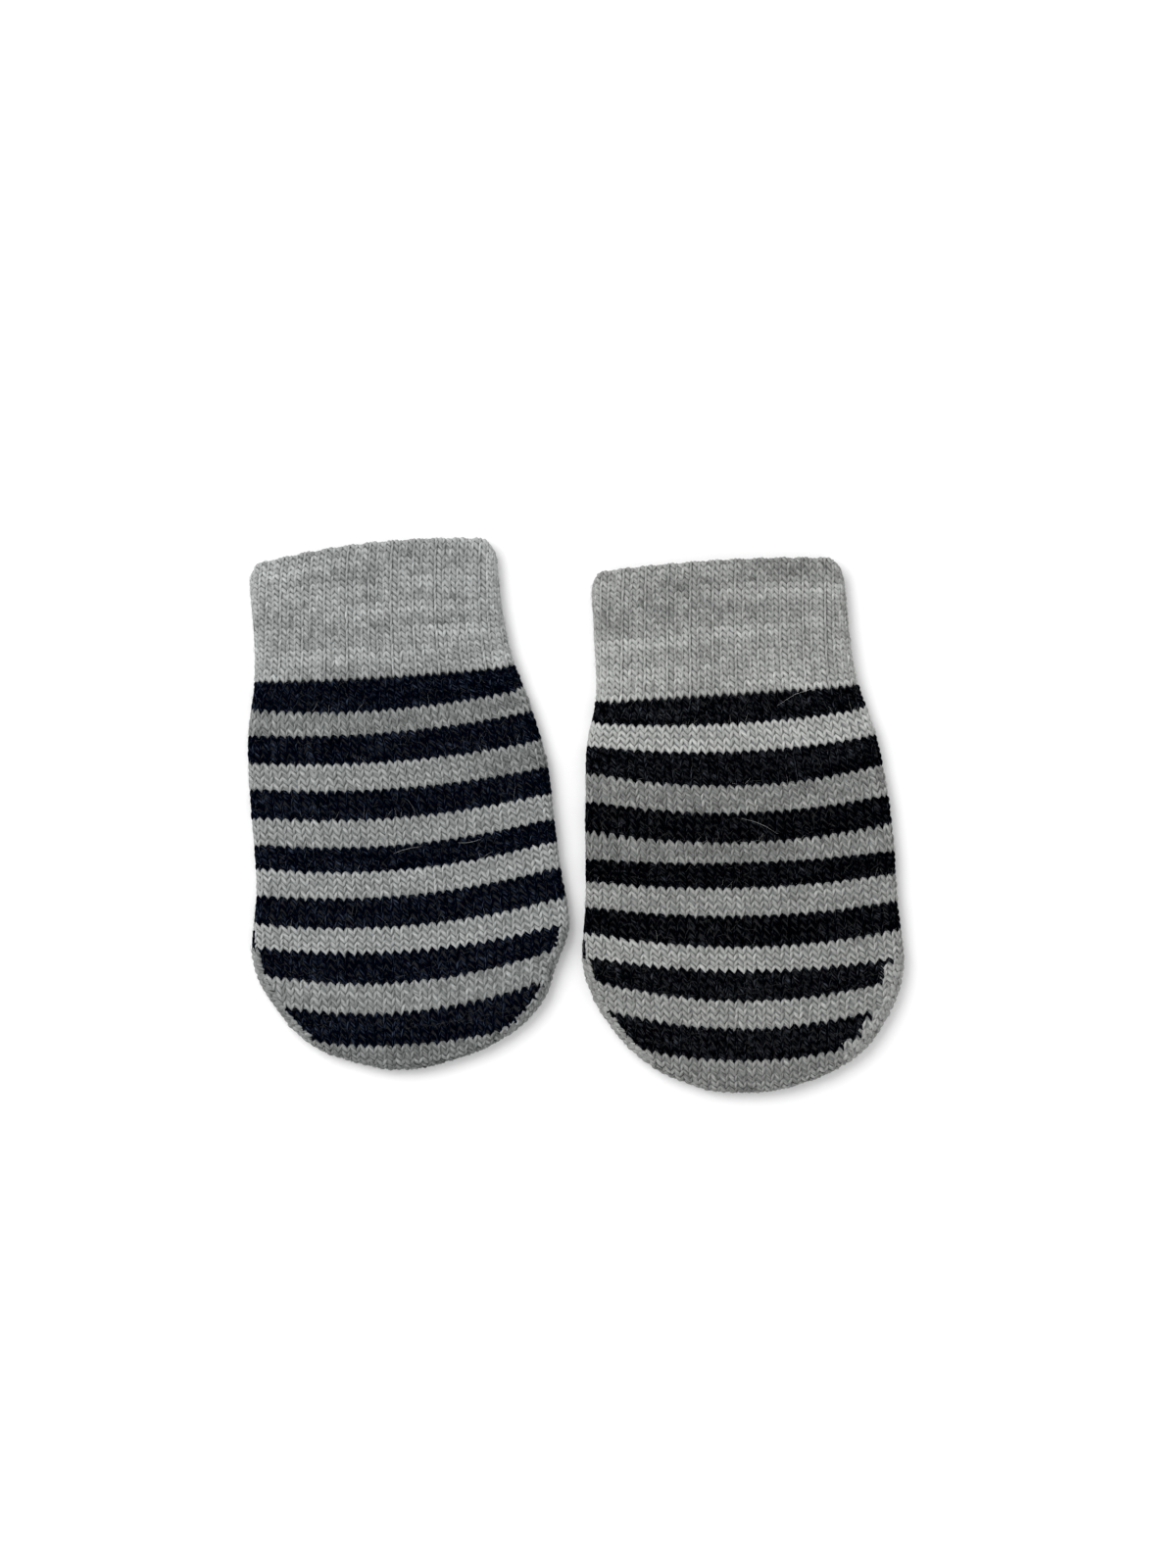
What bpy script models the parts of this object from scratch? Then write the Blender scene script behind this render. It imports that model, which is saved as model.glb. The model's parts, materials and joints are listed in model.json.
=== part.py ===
"""A pair of knitted baby mittens without thumbs, laid flat side by side.

Each mitten is a flattened knitted tube in three pieces, from top to bottom:
  cuff  the plain welt, turned back on itself and so thicker, open at its top edge
  hand  the striped tube over the palm and the back of the hand
  tip   the shaped pocket that closes the tube, like the toe of a sock
The cuffs point along +Y and the tips along -Y. The undersides rest on z = 0, and the
origin is the centre of the pair's bounding box, on that plane. Sizes are millimetres.
"""
from collections import namedtuple
import math

import bmesh
import bpy
from mathutils import Vector

MM = 0.001

# Driving dimensions, in millimetres
CLOTH = 1.9           # thickness of the single knitted cloth
WELT = 2.2            # thickness of the cuff, with its cloth turned back on itself
EDGE_RADIUS = 2.5     # outer radius of the folds down both sides, half the height there
SEAM_GAP = 0.3        # clearance between neighbouring pieces of one mitten
CORNER_DROP = 2.9     # how far the cuff's top corners are rounded off, down from the top edge
CORNER_REACH = 4.0    # and how far in from the side folds
CORNER_ROWS = 1.2     # rows of the tables over which that fades out

# Fineness of the rings
ARC_STEPS = 5         # segments round each side fold
FLAT_STEPS = 10       # segments across the upper layer, and as many across the lower one
RINGS_PER_COURSE = 2  # rings from one row of a table to the next
LIP_STEPS = 3         # segments over the rounded top edge of the cuff

# A row is one course of knitting, which runs round the tube: where it turns the left
# and the right side fold, how high it lies in the middle, and how far the upper layer
# bulges there over the height of the folds. Measured from a point low in the palm.
Course = namedtuple("Course", "left_x left_y middle_y right_x right_y crown")

LEFT_COURSES = [
    Course(-31.4, 74.3, 78.2, 18.0, 79.1, 0.5),    # top edge of the cuff
    Course(-31.5, 70.4, 73.8, 18.2, 74.4, 0.8),
    Course(-30.8, 61.5, 63.6, 19.2, 65.0, 0.9),
    Course(-30.5, 52.1, 52.9, 21.4, 55.5, 0.9),    # cuff to hand
    Course(-31.8, 41.1, 41.7, 24.9, 46.2, 1.1),
    Course(-31.6, 30.2, 30.6, 28.1, 34.9, 1.2),
    Course(-30.7, 19.1, 19.4, 29.4, 24.4, 1.2),
    Course(-30.2, 9.2, 9.4, 30.6, 14.8, 1.2),
    Course(-31.1, -1.4, -1.8, 32.4, 3.0, 1.4),     # hand to tip
    Course(-29.6, -8.0, -7.8, 29.6, -5.6, 1.6),
    Course(-26.5, -13.2, -13.2, 27.5, -11.6, 1.6),
    Course(-22.0, -18.7, -17.8, 23.0, -17.0, 1.2),
    Course(-16.0, -22.7, -21.3, 15.5, -21.8, 0.6),
    Course(-8.5, -25.0, -23.5, 7.0, -24.7, 0.0),   # closed end of the tip
]
RIGHT_COURSES = [
    Course(-30.3, 76.4, 78.6, 20.0, 79.3, 0.5),    # top edge of the cuff
    Course(-30.3, 72.2, 74.3, 20.4, 74.6, 0.8),
    Course(-29.8, 62.0, 63.8, 21.3, 65.2, 0.9),
    Course(-29.5, 52.1, 53.4, 22.8, 55.6, 0.9),    # cuff to hand
    Course(-31.3, 42.8, 41.7, 26.4, 45.2, 1.1),
    Course(-31.6, 31.7, 29.7, 28.9, 33.2, 1.2),
    Course(-31.6, 20.3, 19.7, 30.2, 22.0, 1.2),
    Course(-31.6, 10.8, 9.2, 30.8, 12.0, 1.2),
    Course(-32.2, 0.4, -1.9, 32.1, 0.6, 1.4),      # hand to tip
    Course(-30.4, -6.6, -8.0, 31.2, -6.0, 1.6),
    Course(-27.0, -12.6, -13.6, 28.4, -12.3, 1.6),
    Course(-22.2, -18.3, -18.4, 24.2, -18.1, 1.2),
    Course(-16.0, -22.8, -21.9, 17.4, -22.7, 0.6),
    Course(-8.5, -25.8, -24.2, 9.5, -25.6, 0.0),   # closed end of the tip
]

# Rows of the tables at which each piece starts and ends
CUFF_ROWS = (0, 3)
HAND_ROWS = (3, 8)
TIP_ROWS = (8, 13)

# Where the palm point of each mitten lies, before the pair is centred on the origin
LEFT_PLACE = (-33.6, -25.0)
RIGHT_PLACE = (33.3, -28.9)

# Yarn colours, linear RGB, and the roughness of the wool
GREY_HEATHER = (0.29, 0.30, 0.28)
STRIPED_MIX = (0.10, 0.105, 0.10)
TIP_GREY = (0.15, 0.155, 0.15)
WOOL_ROUGHNESS = 0.95


def course_at(table, station):
    """The course at a fractional row number, on a smooth curve through the rows."""
    last = len(table) - 1
    row = min(int(station), last - 1)
    part = station - row
    before, start, end, after = (
        table[min(max(row + step, 0), last)] for step in (-1, 0, 1, 2)
    )
    values = []
    for a, b, c, d in zip(before, start, end, after):
        slope_in = (c - a) / 2
        slope_out = (d - b) / 2
        rise = c - b
        bend = 3 * rise - 2 * slope_in - slope_out
        twist = slope_in + slope_out - 2 * rise
        values.append(b + part * (slope_in + part * (bend + part * twist)))
    return Course(*values)


def side_directions(table, station):
    """Outward directions in plan, square to the left and the right side fold."""
    step = 0.05
    above = course_at(table, max(station - step, 0))
    below = course_at(table, min(station + step, len(table) - 1))
    left = Vector((below.left_y - above.left_y, above.left_x - below.left_x))
    right = Vector((above.right_y - below.right_y, below.right_x - above.right_x))
    return left.normalized(), right.normalized()


def section_spots():
    """(across, angle) of a section's points: right fold, upper layer, left fold, lower layer.

    across runs from -1 to 1 between the centres of the two side folds, and angle is the
    direction from there to the surface: 90 degrees is up, and 270 is down.
    """
    spots = [(1, -90 + 180 * step / ARC_STEPS) for step in range(ARC_STEPS + 1)]
    spots += [(1 - 2 * step / FLAT_STEPS, 90) for step in range(1, FLAT_STEPS)]
    spots += [(-1, 90 + 180 * step / ARC_STEPS) for step in range(ARC_STEPS + 1)]
    spots += [(-1 + 2 * step / FLAT_STEPS, 270) for step in range(1, FLAT_STEPS)]
    return spots


def corner_drop(station, from_fold):
    """How far a ring dips below its course, at a distance in from the side fold's edge."""
    near = max(1 - from_fold / CORNER_REACH, 0)
    fade = max(1 - station / CORNER_ROWS, 0)
    return CORNER_DROP * near ** 2 * fade ** 2


def surface_point(table, station, depth, across, angle):
    """A point on the tube: depth 0 is the outer face, and the wall's thickness the inner one."""
    course = course_at(table, station)
    left_out, right_out = side_directions(table, station)
    left = Vector((course.left_x, course.left_y)) - EDGE_RADIUS * left_out
    right = Vector((course.right_x, course.right_y)) - EDGE_RADIUS * right_out
    middle = (left + right) / 2
    half = (right - left) / 2
    sag = middle.y - course.middle_y
    plan = middle + across * half - Vector((0, sag * (1 - across ** 2)))

    radius = EDGE_RADIUS - depth
    outward = left_out.lerp(right_out, (across + 1) / 2).normalized()
    turn = math.radians(angle)
    plan += radius * abs(math.cos(turn)) * outward
    from_fold = (1 - abs(across)) * half.length + EDGE_RADIUS * (1 - abs(math.cos(turn)))
    plan.y -= corner_drop(station, from_fold)
    lift = course.crown * (1 - across ** 2) * max(math.sin(turn), 0)
    return Vector((plan.x, plan.y, EDGE_RADIUS + radius * math.sin(turn) + lift))


def add_ring(mesh, table, station, depth, slide=0.0):
    """One closed ring of points, moved along the mitten by slide."""
    shift = Vector((0, slide, 0))
    return [
        mesh.verts.new((surface_point(table, station, depth, *spot) + shift) * MM)
        for spot in section_spots()
    ]


def bridge(mesh, one_ring, other_ring):
    """A band of four-sided faces between two rings of as many points."""
    count = len(one_ring)
    for spot in range(count):
        following = (spot + 1) % count
        mesh.faces.new(
            (one_ring[spot], one_ring[following], other_ring[following], other_ring[spot])
        )


def close_tip(mesh, table, ring, depth):
    """The rounded end that joins the upper layer's last ring to the lower layer's."""
    station = len(table) - 1
    count = len(ring)
    grid = []
    for column in range(FLAT_STEPS + 1):
        across = -1 + 2 * column / FLAT_STEPS
        line = []
        for row in range(ARC_STEPS + 1):
            if column == 0:
                line.append(ring[2 * ARC_STEPS + FLAT_STEPS - row])
            elif column == FLAT_STEPS:
                line.append(ring[row])
            elif row == 0:
                line.append(ring[(2 * ARC_STEPS + FLAT_STEPS + column) % count])
            elif row == ARC_STEPS:
                line.append(ring[ARC_STEPS + FLAT_STEPS - column])
            else:
                angle = -90 + 180 * row / ARC_STEPS
                line.append(mesh.verts.new(surface_point(table, station, depth, across, angle) * MM))
        grid.append(line)
    for near, far in zip(grid, grid[1:]):
        for row in range(ARC_STEPS):
            mesh.faces.new((near[row], far[row], far[row + 1], near[row + 1]))


def add_wall(mesh, table, rows, depth, slides):
    """The rings of one face of the cloth, bridged. Returns the first and the last ring."""
    first, last = rows
    steps = (last - first) * RINGS_PER_COURSE
    rings = []
    for step in range(steps + 1):
        slide = slides[0] if step == 0 else slides[1] if step == steps else 0
        rings.append(add_ring(mesh, table, first + step / RINGS_PER_COURSE, depth, slide))
    for one, other in zip(rings, rings[1:]):
        bridge(mesh, one, other)
    return rings[0], rings[-1]


def add_lip(mesh, table, outer, inner):
    """The rounded fold of the welt, over the cuff's top edge."""
    rings = [outer]
    for step in range(1, LIP_STEPS):
        turn = math.pi * step / LIP_STEPS
        depth = WELT / 2 * (1 - math.cos(turn))
        rings.append(add_ring(mesh, table, CUFF_ROWS[0], depth, WELT / 2 * math.sin(turn)))
    rings.append(inner)
    for one, other in zip(rings, rings[1:]):
        bridge(mesh, one, other)


def cuff_mesh(table):
    """A welt: a tube with a rounded top edge and a square lower one."""
    mesh = bmesh.new()
    slides = (0, SEAM_GAP / 2)
    outer_top, outer_seam = add_wall(mesh, table, CUFF_ROWS, 0, slides)
    inner_top, inner_seam = add_wall(mesh, table, CUFF_ROWS, WELT, slides)
    add_lip(mesh, table, outer_top, inner_top)
    bridge(mesh, outer_seam, inner_seam)
    return mesh


def hand_mesh(table):
    """A tube that is open at both ends."""
    mesh = bmesh.new()
    slides = (-SEAM_GAP / 2, SEAM_GAP / 2)
    outer_top, outer_seam = add_wall(mesh, table, HAND_ROWS, 0, slides)
    inner_top, inner_seam = add_wall(mesh, table, HAND_ROWS, CLOTH, slides)
    bridge(mesh, outer_top, inner_top)
    bridge(mesh, outer_seam, inner_seam)
    return mesh


def tip_mesh(table):
    """A pocket: a tube that is open at the hand and closed round its far end."""
    mesh = bmesh.new()
    slides = (-SEAM_GAP / 2, 0)
    outer_top, outer_end = add_wall(mesh, table, TIP_ROWS, 0, slides)
    inner_top, inner_end = add_wall(mesh, table, TIP_ROWS, CLOTH, slides)
    bridge(mesh, outer_top, inner_top)
    close_tip(mesh, table, outer_end, 0)
    close_tip(mesh, table, inner_end, CLOTH)
    return mesh


def wool(name, color):
    """A matt yarn material."""
    material = bpy.data.materials.new(name)
    material.use_nodes = True
    shader = material.node_tree.nodes["Principled BSDF"]
    shader.inputs["Base Color"].default_value = (*color, 1)
    shader.inputs["Roughness"].default_value = WOOL_ROUGHNESS
    shader.inputs["Metallic"].default_value = 0
    material.diffuse_color = (*color, 1)
    return material


def add_piece(name, mesh, color, parent):
    """Turn a finished mesh into the named object, with its faces pointing out."""
    bmesh.ops.recalc_face_normals(mesh, faces=mesh.faces)
    data = bpy.data.meshes.new(name)
    mesh.to_mesh(data)
    mesh.free()
    data.shade_smooth()
    data.set_sharp_from_angle(angle=math.radians(60))
    data.materials.append(wool(name, color))
    piece = bpy.data.objects.new(name, data)
    piece.parent = parent
    bpy.context.collection.objects.link(piece)
    return piece


def add_mitten(side, table, place, pair):
    """The three pieces of one mitten, on an empty that places it in the pair."""
    mitten = bpy.data.objects.new(f"{side}_mitten_place", None)
    mitten.location = Vector((*place, 0)) * MM
    mitten.parent = pair
    bpy.context.collection.objects.link(mitten)
    return [
        add_piece(f"{side}_cuff", cuff_mesh(table), GREY_HEATHER, mitten),
        add_piece(f"{side}_hand", hand_mesh(table), STRIPED_MIX, mitten),
        add_piece(f"{side}_tip", tip_mesh(table), TIP_GREY, mitten),
    ]


def centre_on_origin(pair, pieces):
    """Move the pair so that the centre of its bounding box is over the origin."""
    bpy.context.view_layer.update()
    corners = [piece.matrix_world @ vertex.co for piece in pieces for vertex in piece.data.vertices]
    for axis in (0, 1):
        values = [corner[axis] for corner in corners]
        pair.location[axis] = -(min(values) + max(values)) / 2


def main():
    for old in list(bpy.data.objects):
        bpy.data.objects.remove(old)
    pair = bpy.data.objects.new("pair_centre", None)
    bpy.context.collection.objects.link(pair)
    pieces = add_mitten("left", LEFT_COURSES, LEFT_PLACE, pair)
    pieces += add_mitten("right", RIGHT_COURSES, RIGHT_PLACE, pair)
    centre_on_origin(pair, pieces)


main()
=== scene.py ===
# %% [markdown]
# # A pair of striped baby mittens
#
# Two small knitted mittens without thumbs lie flat, side by side. Each is a tube, knitted
# round and round on a small circular machine as a sock is: a plain grey cuff that is turned
# back on itself, a striped hand, and a pocket at the tip. The stitches are large beside the
# whole, about 1.7 mm apart, so they are modelled here one by one and not drawn on.

# %% Load the frame
from collections import namedtuple
import json
import math

import bmesh
import bpy
import numpy as np
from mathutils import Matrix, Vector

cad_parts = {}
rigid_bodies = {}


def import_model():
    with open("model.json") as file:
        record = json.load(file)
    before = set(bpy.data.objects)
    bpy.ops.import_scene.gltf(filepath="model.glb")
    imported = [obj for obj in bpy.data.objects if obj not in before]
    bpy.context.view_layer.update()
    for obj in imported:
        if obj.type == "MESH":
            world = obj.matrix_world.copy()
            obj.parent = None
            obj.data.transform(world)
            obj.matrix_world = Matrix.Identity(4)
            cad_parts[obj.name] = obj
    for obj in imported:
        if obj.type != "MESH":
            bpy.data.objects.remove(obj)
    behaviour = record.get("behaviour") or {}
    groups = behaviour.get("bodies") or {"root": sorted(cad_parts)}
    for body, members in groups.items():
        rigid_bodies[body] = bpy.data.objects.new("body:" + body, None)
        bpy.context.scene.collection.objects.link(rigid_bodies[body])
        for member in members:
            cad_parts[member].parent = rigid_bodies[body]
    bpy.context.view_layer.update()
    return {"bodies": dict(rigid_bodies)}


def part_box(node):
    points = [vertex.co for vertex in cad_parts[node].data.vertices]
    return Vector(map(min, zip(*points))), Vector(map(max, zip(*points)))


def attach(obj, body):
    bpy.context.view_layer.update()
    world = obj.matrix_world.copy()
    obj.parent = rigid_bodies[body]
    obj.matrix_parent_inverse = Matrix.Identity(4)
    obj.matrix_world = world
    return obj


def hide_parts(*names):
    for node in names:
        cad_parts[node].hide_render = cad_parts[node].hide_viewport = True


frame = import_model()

BODY = next(iter(frame["bodies"]))
MM = 0.001

# %% [markdown]
# ## Camera
#
# The pair is seen from straight above. A long lens stands well back, as it would over a
# table, so that the sides of the mittens hardly show and nothing is drawn out of shape.

# %% Camera
VIEW_HEIGHT = 312.0       # millimetres of table from the top to the bottom of the view
VIEW_CENTRE = (2.44, 6.24)      # from the frame's origin to the middle of the view
FOCUS_LEVEL = 3.0         # the height at which the view has that size
LENS = 85.0               # millimetres, as the sensor's width is
SENSOR = 36.0

camera_data = bpy.data.cameras.new("camera")
camera_data.lens = LENS
camera_data.sensor_width = SENSOR
camera = bpy.data.objects.new("camera", camera_data)
stand_off = VIEW_HEIGHT / 2 * LENS / (SENSOR / 2)
camera.location = [value * MM for value in (*VIEW_CENTRE, FOCUS_LEVEL + stand_off)]
bpy.context.scene.collection.objects.link(camera)
bpy.context.scene.camera = camera
print(f"camera {stand_off:.0f} mm above the mittens")

# %% [markdown]
# ## Floor and light
#
# The floor is plain and pale. A white room gives soft light from all round, and one wide
# lamp from the upper left lets each stitch throw a small soft shadow on its neighbour,
# which is what makes knitting read as knitting.

# %% Floor and light
FLOOR_SIZE = 3.0          # metres
FLOOR_COLOR = (0.93, 0.93, 0.93)
FLOOR_SHADE = 0.99        # how dark the mottle's darker places are, of that colour
FLOOR_ROUGHNESS = 0.8
FLOOR_MOTTLE = 3          # patches to a metre
ROOM_STRENGTH = 0.82
LAMP_PLACE = (-0.42, 0.38, 0.80)   # metres
LAMP_SIZE = 0.60
LAMP_POWER = 6.0          # watts


def new_material(name, roughness):
    """A material, with its nodes, its links and its shader."""
    material = bpy.data.materials.new(name)
    material.use_nodes = True
    tree = material.node_tree
    shader = tree.nodes["Principled BSDF"]
    shader.inputs["Roughness"].default_value = roughness
    return material, tree.nodes, tree.links, shader


def add_floor():
    """A wide plane with a faint mottle, which the mittens lie on."""
    bpy.ops.object.select_all(action="DESELECT")
    bpy.ops.mesh.primitive_plane_add(size=FLOOR_SIZE, location=(0, 0, 0))
    floor = bpy.context.object
    floor.name = "floor"
    material, nodes, links, shader = new_material("floor_paint", FLOOR_ROUGHNESS)
    mottle = nodes.new("ShaderNodeTexNoise")
    mottle.inputs["Scale"].default_value = FLOOR_MOTTLE
    shade = nodes.new("ShaderNodeMixRGB")
    shade.inputs["Color1"].default_value = (*FLOOR_COLOR, 1)
    shade.inputs["Color2"].default_value = (*[value * FLOOR_SHADE for value in FLOOR_COLOR], 1)
    links.new(mottle.outputs["Fac"], shade.inputs["Fac"])
    links.new(shade.outputs["Color"], shader.inputs["Base Color"])
    floor.data.materials.append(material)


def add_light():
    """A white room and one wide lamp that points at the pair."""
    world = bpy.data.worlds.new("room")
    world.use_nodes = True
    world.node_tree.nodes["Background"].inputs["Color"].default_value = (1, 1, 1, 1)
    world.node_tree.nodes["Background"].inputs["Strength"].default_value = ROOM_STRENGTH
    bpy.context.scene.world = world
    lamp_data = bpy.data.lights.new("wide_lamp", "AREA")
    lamp_data.size = LAMP_SIZE
    lamp_data.energy = LAMP_POWER
    lamp = bpy.data.objects.new("wide_lamp", lamp_data)
    lamp.location = LAMP_PLACE
    lamp.rotation_euler = (-lamp.location).to_track_quat("-Z", "Y").to_euler()
    bpy.context.scene.collection.objects.link(lamp)


bpy.context.scene.view_settings.view_transform = "Standard"
add_floor()
add_light()
print(f"floor {FLOOR_SIZE} m wide, lamp {LAMP_SIZE} m wide")

# %% [markdown]
# ## The form of a mitten
#
# The cloth is a tube pressed flat, so a cross-section has a round fold at each side and two
# flat layers between them. A few courses of knitting, given by where they turn the folds,
# shape the whole tube, and a smooth curve runs through them. These are the same values that
# shape the plain solids, so the stitches lie exactly where the solids are.

# %% Courses that shape each mitten
CLOTH = 1.9           # thickness of the single cloth
WELT = 2.2            # thickness of the cuff, two cloths
EDGE_RADIUS = 2.5     # outer radius of the side folds
CORNER_RADII = (2.6, 3.8)   # of the cuff's top corners, left and right
CORNER_ROWS = 2.0     # rows over which their rounding fades out
CUFF_ROW, HAND_ROW, TIP_ROW, TOE_ROW = 0, 3, 8, 13   # where the parts begin in the tables

Course = namedtuple("Course", "left_x left_y middle_y right_x right_y crown")

LEFT_COURSES = [
    Course(-31.4, 74.3, 78.2, 18.0, 79.1, 0.5),    # top edge of the cuff
    Course(-31.5, 70.4, 73.8, 18.2, 74.4, 0.8),
    Course(-30.8, 61.5, 63.6, 19.2, 65.0, 0.9),
    Course(-30.5, 52.1, 52.9, 21.4, 55.5, 0.9),    # cuff to hand
    Course(-31.8, 41.1, 41.7, 24.9, 46.2, 1.1),
    Course(-31.6, 30.2, 30.6, 28.1, 34.9, 1.2),
    Course(-30.7, 19.1, 19.4, 29.4, 24.4, 1.2),
    Course(-30.2, 9.2, 9.4, 30.6, 14.8, 1.2),
    Course(-31.1, -1.4, -1.8, 32.4, 3.0, 1.4),     # hand to tip
    Course(-29.6, -8.0, -7.8, 29.6, -5.6, 1.6),
    Course(-26.5, -13.2, -13.2, 27.5, -11.6, 1.6),
    Course(-22.0, -18.7, -17.8, 23.0, -17.0, 1.2),
    Course(-16.0, -22.7, -21.3, 15.5, -21.8, 0.6),
    Course(-8.5, -25.0, -23.5, 7.0, -24.7, 0.0),   # closed end of the tip
]
RIGHT_COURSES = [
    Course(-30.3, 76.4, 78.6, 20.0, 79.3, 0.5),    # top edge of the cuff
    Course(-30.3, 72.2, 74.3, 20.4, 74.6, 0.8),
    Course(-29.8, 62.0, 63.8, 21.3, 65.2, 0.9),
    Course(-29.5, 52.1, 53.4, 22.8, 55.6, 0.9),    # cuff to hand
    Course(-31.3, 42.8, 41.7, 26.4, 45.2, 1.1),
    Course(-31.6, 31.7, 29.7, 28.9, 33.2, 1.2),
    Course(-31.6, 20.3, 19.7, 30.2, 22.0, 1.2),
    Course(-31.6, 10.8, 9.2, 30.8, 12.0, 1.2),
    Course(-32.2, 0.4, -1.9, 32.1, 0.6, 1.4),      # hand to tip
    Course(-30.4, -6.6, -8.0, 31.2, -6.0, 1.6),
    Course(-27.0, -12.6, -13.6, 28.4, -12.3, 1.6),
    Course(-22.2, -18.3, -18.4, 24.2, -18.1, 1.2),
    Course(-16.0, -22.8, -21.9, 17.4, -22.7, 0.6),
    Course(-8.5, -25.8, -24.2, 9.5, -25.6, 0.0),   # closed end of the tip
]
print(len(LEFT_COURSES), "courses shape each mitten")

# %% Smooth curves through the courses
DIRECTION_STEP = 0.05     # rows to either side, for the direction of a side fold
TINY = 1e-12              # keeps a vector of no length from dividing by zero


def unit(vectors):
    """The vectors at length 1."""
    return vectors / np.maximum(np.linalg.norm(vectors, axis=-1, keepdims=True), TINY)


def course_at(table, station):
    """Course values at fractional row numbers, in the last axis."""
    last = len(table) - 1
    row = np.clip(np.asarray(station).astype(int), 0, last - 1)
    part = (station - row)[..., None]
    before, start, end, after = (
        table[np.clip(row + step, 0, last)] for step in (-1, 0, 1, 2)
    )
    slope_in = (end - before) / 2
    slope_out = (after - start) / 2
    rise = end - start
    bend = 3 * rise - 2 * slope_in - slope_out
    twist = slope_in + slope_out - 2 * rise
    return start + part * (slope_in + part * (bend + part * twist))


def folds(table, station):
    """Fold centres in plan, left and right, their outward directions, the middle and the crown."""
    station = np.asarray(station, float)
    above = course_at(table, np.maximum(station - DIRECTION_STEP, 0))
    below = course_at(table, np.minimum(station + DIRECTION_STEP, len(table) - 1))
    course = course_at(table, station)
    left_out = unit(np.stack([(below - above)[..., 1], (above - below)[..., 0]], -1))
    right_out = unit(np.stack([(above - below)[..., 4], (below - above)[..., 3]], -1))
    left = course[..., 0:2] - EDGE_RADIUS * left_out
    right = course[..., 3:5] - EDGE_RADIUS * right_out
    return left, right, left_out, right_out, course[..., 2], course[..., 5]


left, right = folds(np.array(LEFT_COURSES), [HAND_ROW, TIP_ROW])[:2]
print("left mitten, fold to fold:", np.round(np.linalg.norm(right - left, axis=-1), 1), "mm")

# %% [markdown]
# ## Creases
#
# Cloth that has been worn and laid down is never quite flat. A cloth simulation could find its creases,
# but on mittens that lie flat they are so faint that it is simpler to list them one by one. A crease is
# one soft ridge or trough with its own length, width and height. The upper layer has its own set. The
# lower one rests on the table, so there they only lift it.

# %% Creases, listed one by one
Crease = namedtuple("Crease", "x y length width turn height")

LEFT_CREASES = [
    Crease(-12, 58, 16, 3.2, 78, -0.30),
    Crease(9, 62, 13, 2.6, 96, -0.26),
    Crease(-22, 40, 10, 3.0, 20, 0.28),
    Crease(15, 38, 12, 3.4, -38, -0.34),
    Crease(-5, 27, 20, 4.2, 8, -0.30),
    Crease(20, 12, 12, 3.2, 60, 0.32),
    Crease(-20, 10, 14, 3.6, -24, -0.36),
    Crease(2, -6, 18, 3.4, 14, 0.26),
]
RIGHT_CREASES = [
    Crease(-14, 63, 15, 2.8, 84, -0.28),
    Crease(6, 57, 17, 3.6, 98, -0.30),
    Crease(-24, 36, 9, 3.2, 34, 0.30),
    Crease(8, 44, 19, 3.6, -12, -0.34),
    Crease(-8, 22, 22, 4.6, 10, 0.28),
    Crease(20, 24, 12, 3.2, 48, -0.32),
    Crease(-16, 2, 15, 3.4, -30, -0.34),
    Crease(12, -8, 13, 3.6, 26, 0.28),
]
UNDER_CREASES = [
    Crease(-10, 48, 18, 3.4, 70, 0.35),
    Crease(12, 30, 15, 3.0, -30, 0.40),
    Crease(-14, 12, 20, 3.8, 16, 0.45),
    Crease(14, -2, 12, 3.2, 58, 0.35),
]


def crease_height(creases, plan):
    """How far the creases lift the cloth at each plan point."""
    height = np.zeros(plan.shape[:-1])
    for crease in creases:
        turn = math.radians(crease.turn)
        x = plan[..., 0] - crease.x
        y = plan[..., 1] - crease.y
        along = (x * math.cos(turn) + y * math.sin(turn)) / crease.length
        off = (y * math.cos(turn) - x * math.sin(turn)) / crease.width
        height += crease.height * np.exp(-(along ** 2) - off ** 2)
    return height


print(len(LEFT_CREASES + RIGHT_CREASES), "creases above,", len(UNDER_CREASES), "below each mitten")

# %% [markdown]
# ## Spots on the cloth
#
# A stitch is placed by counting: so many wales round the tube and so many courses down. A
# spot turns that count into a place on the cloth. It holds the foot, which is the middle of
# the cloth's fold in plan, the way out from there, the angle round the fold, the swell of
# the upper layer, and how far the spot has gone over the rounded lip of the cuff.

# %% From a spot to a point
Spot = namedtuple("Spot", "foot outward angle swell lip")
Mitten = namedtuple(
    "Mitten", "side table creases place stripes tip_stripes tip_rows gore_end gore_out",
    defaults=(None,) * 5,
)


def surface(mitten, spot, depth):
    """Points at a depth under the outer face, in metres."""
    inward = WELT / 2 * (1 - np.cos(spot.lip)) + depth * np.cos(spot.lip)
    radius = EDGE_RADIUS - inward
    lean = np.abs(np.cos(spot.angle)) * radius
    plan = spot.foot + lean[..., None] * spot.outward
    upper = np.maximum(np.sin(spot.angle), 0)
    lower = np.maximum(-np.sin(spot.angle), 0)
    height = EDGE_RADIUS + radius * np.sin(spot.angle) + spot.swell * upper
    height = height + upper * crease_height(mitten.creases, plan)
    height = height + lower * crease_height(UNDER_CREASES, plan)
    slide = (WELT / 2 - depth) * np.sin(spot.lip)
    point = np.stack([plan[..., 0], plan[..., 1] + slide, height], -1)
    return (point + mitten.place) * MM


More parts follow.
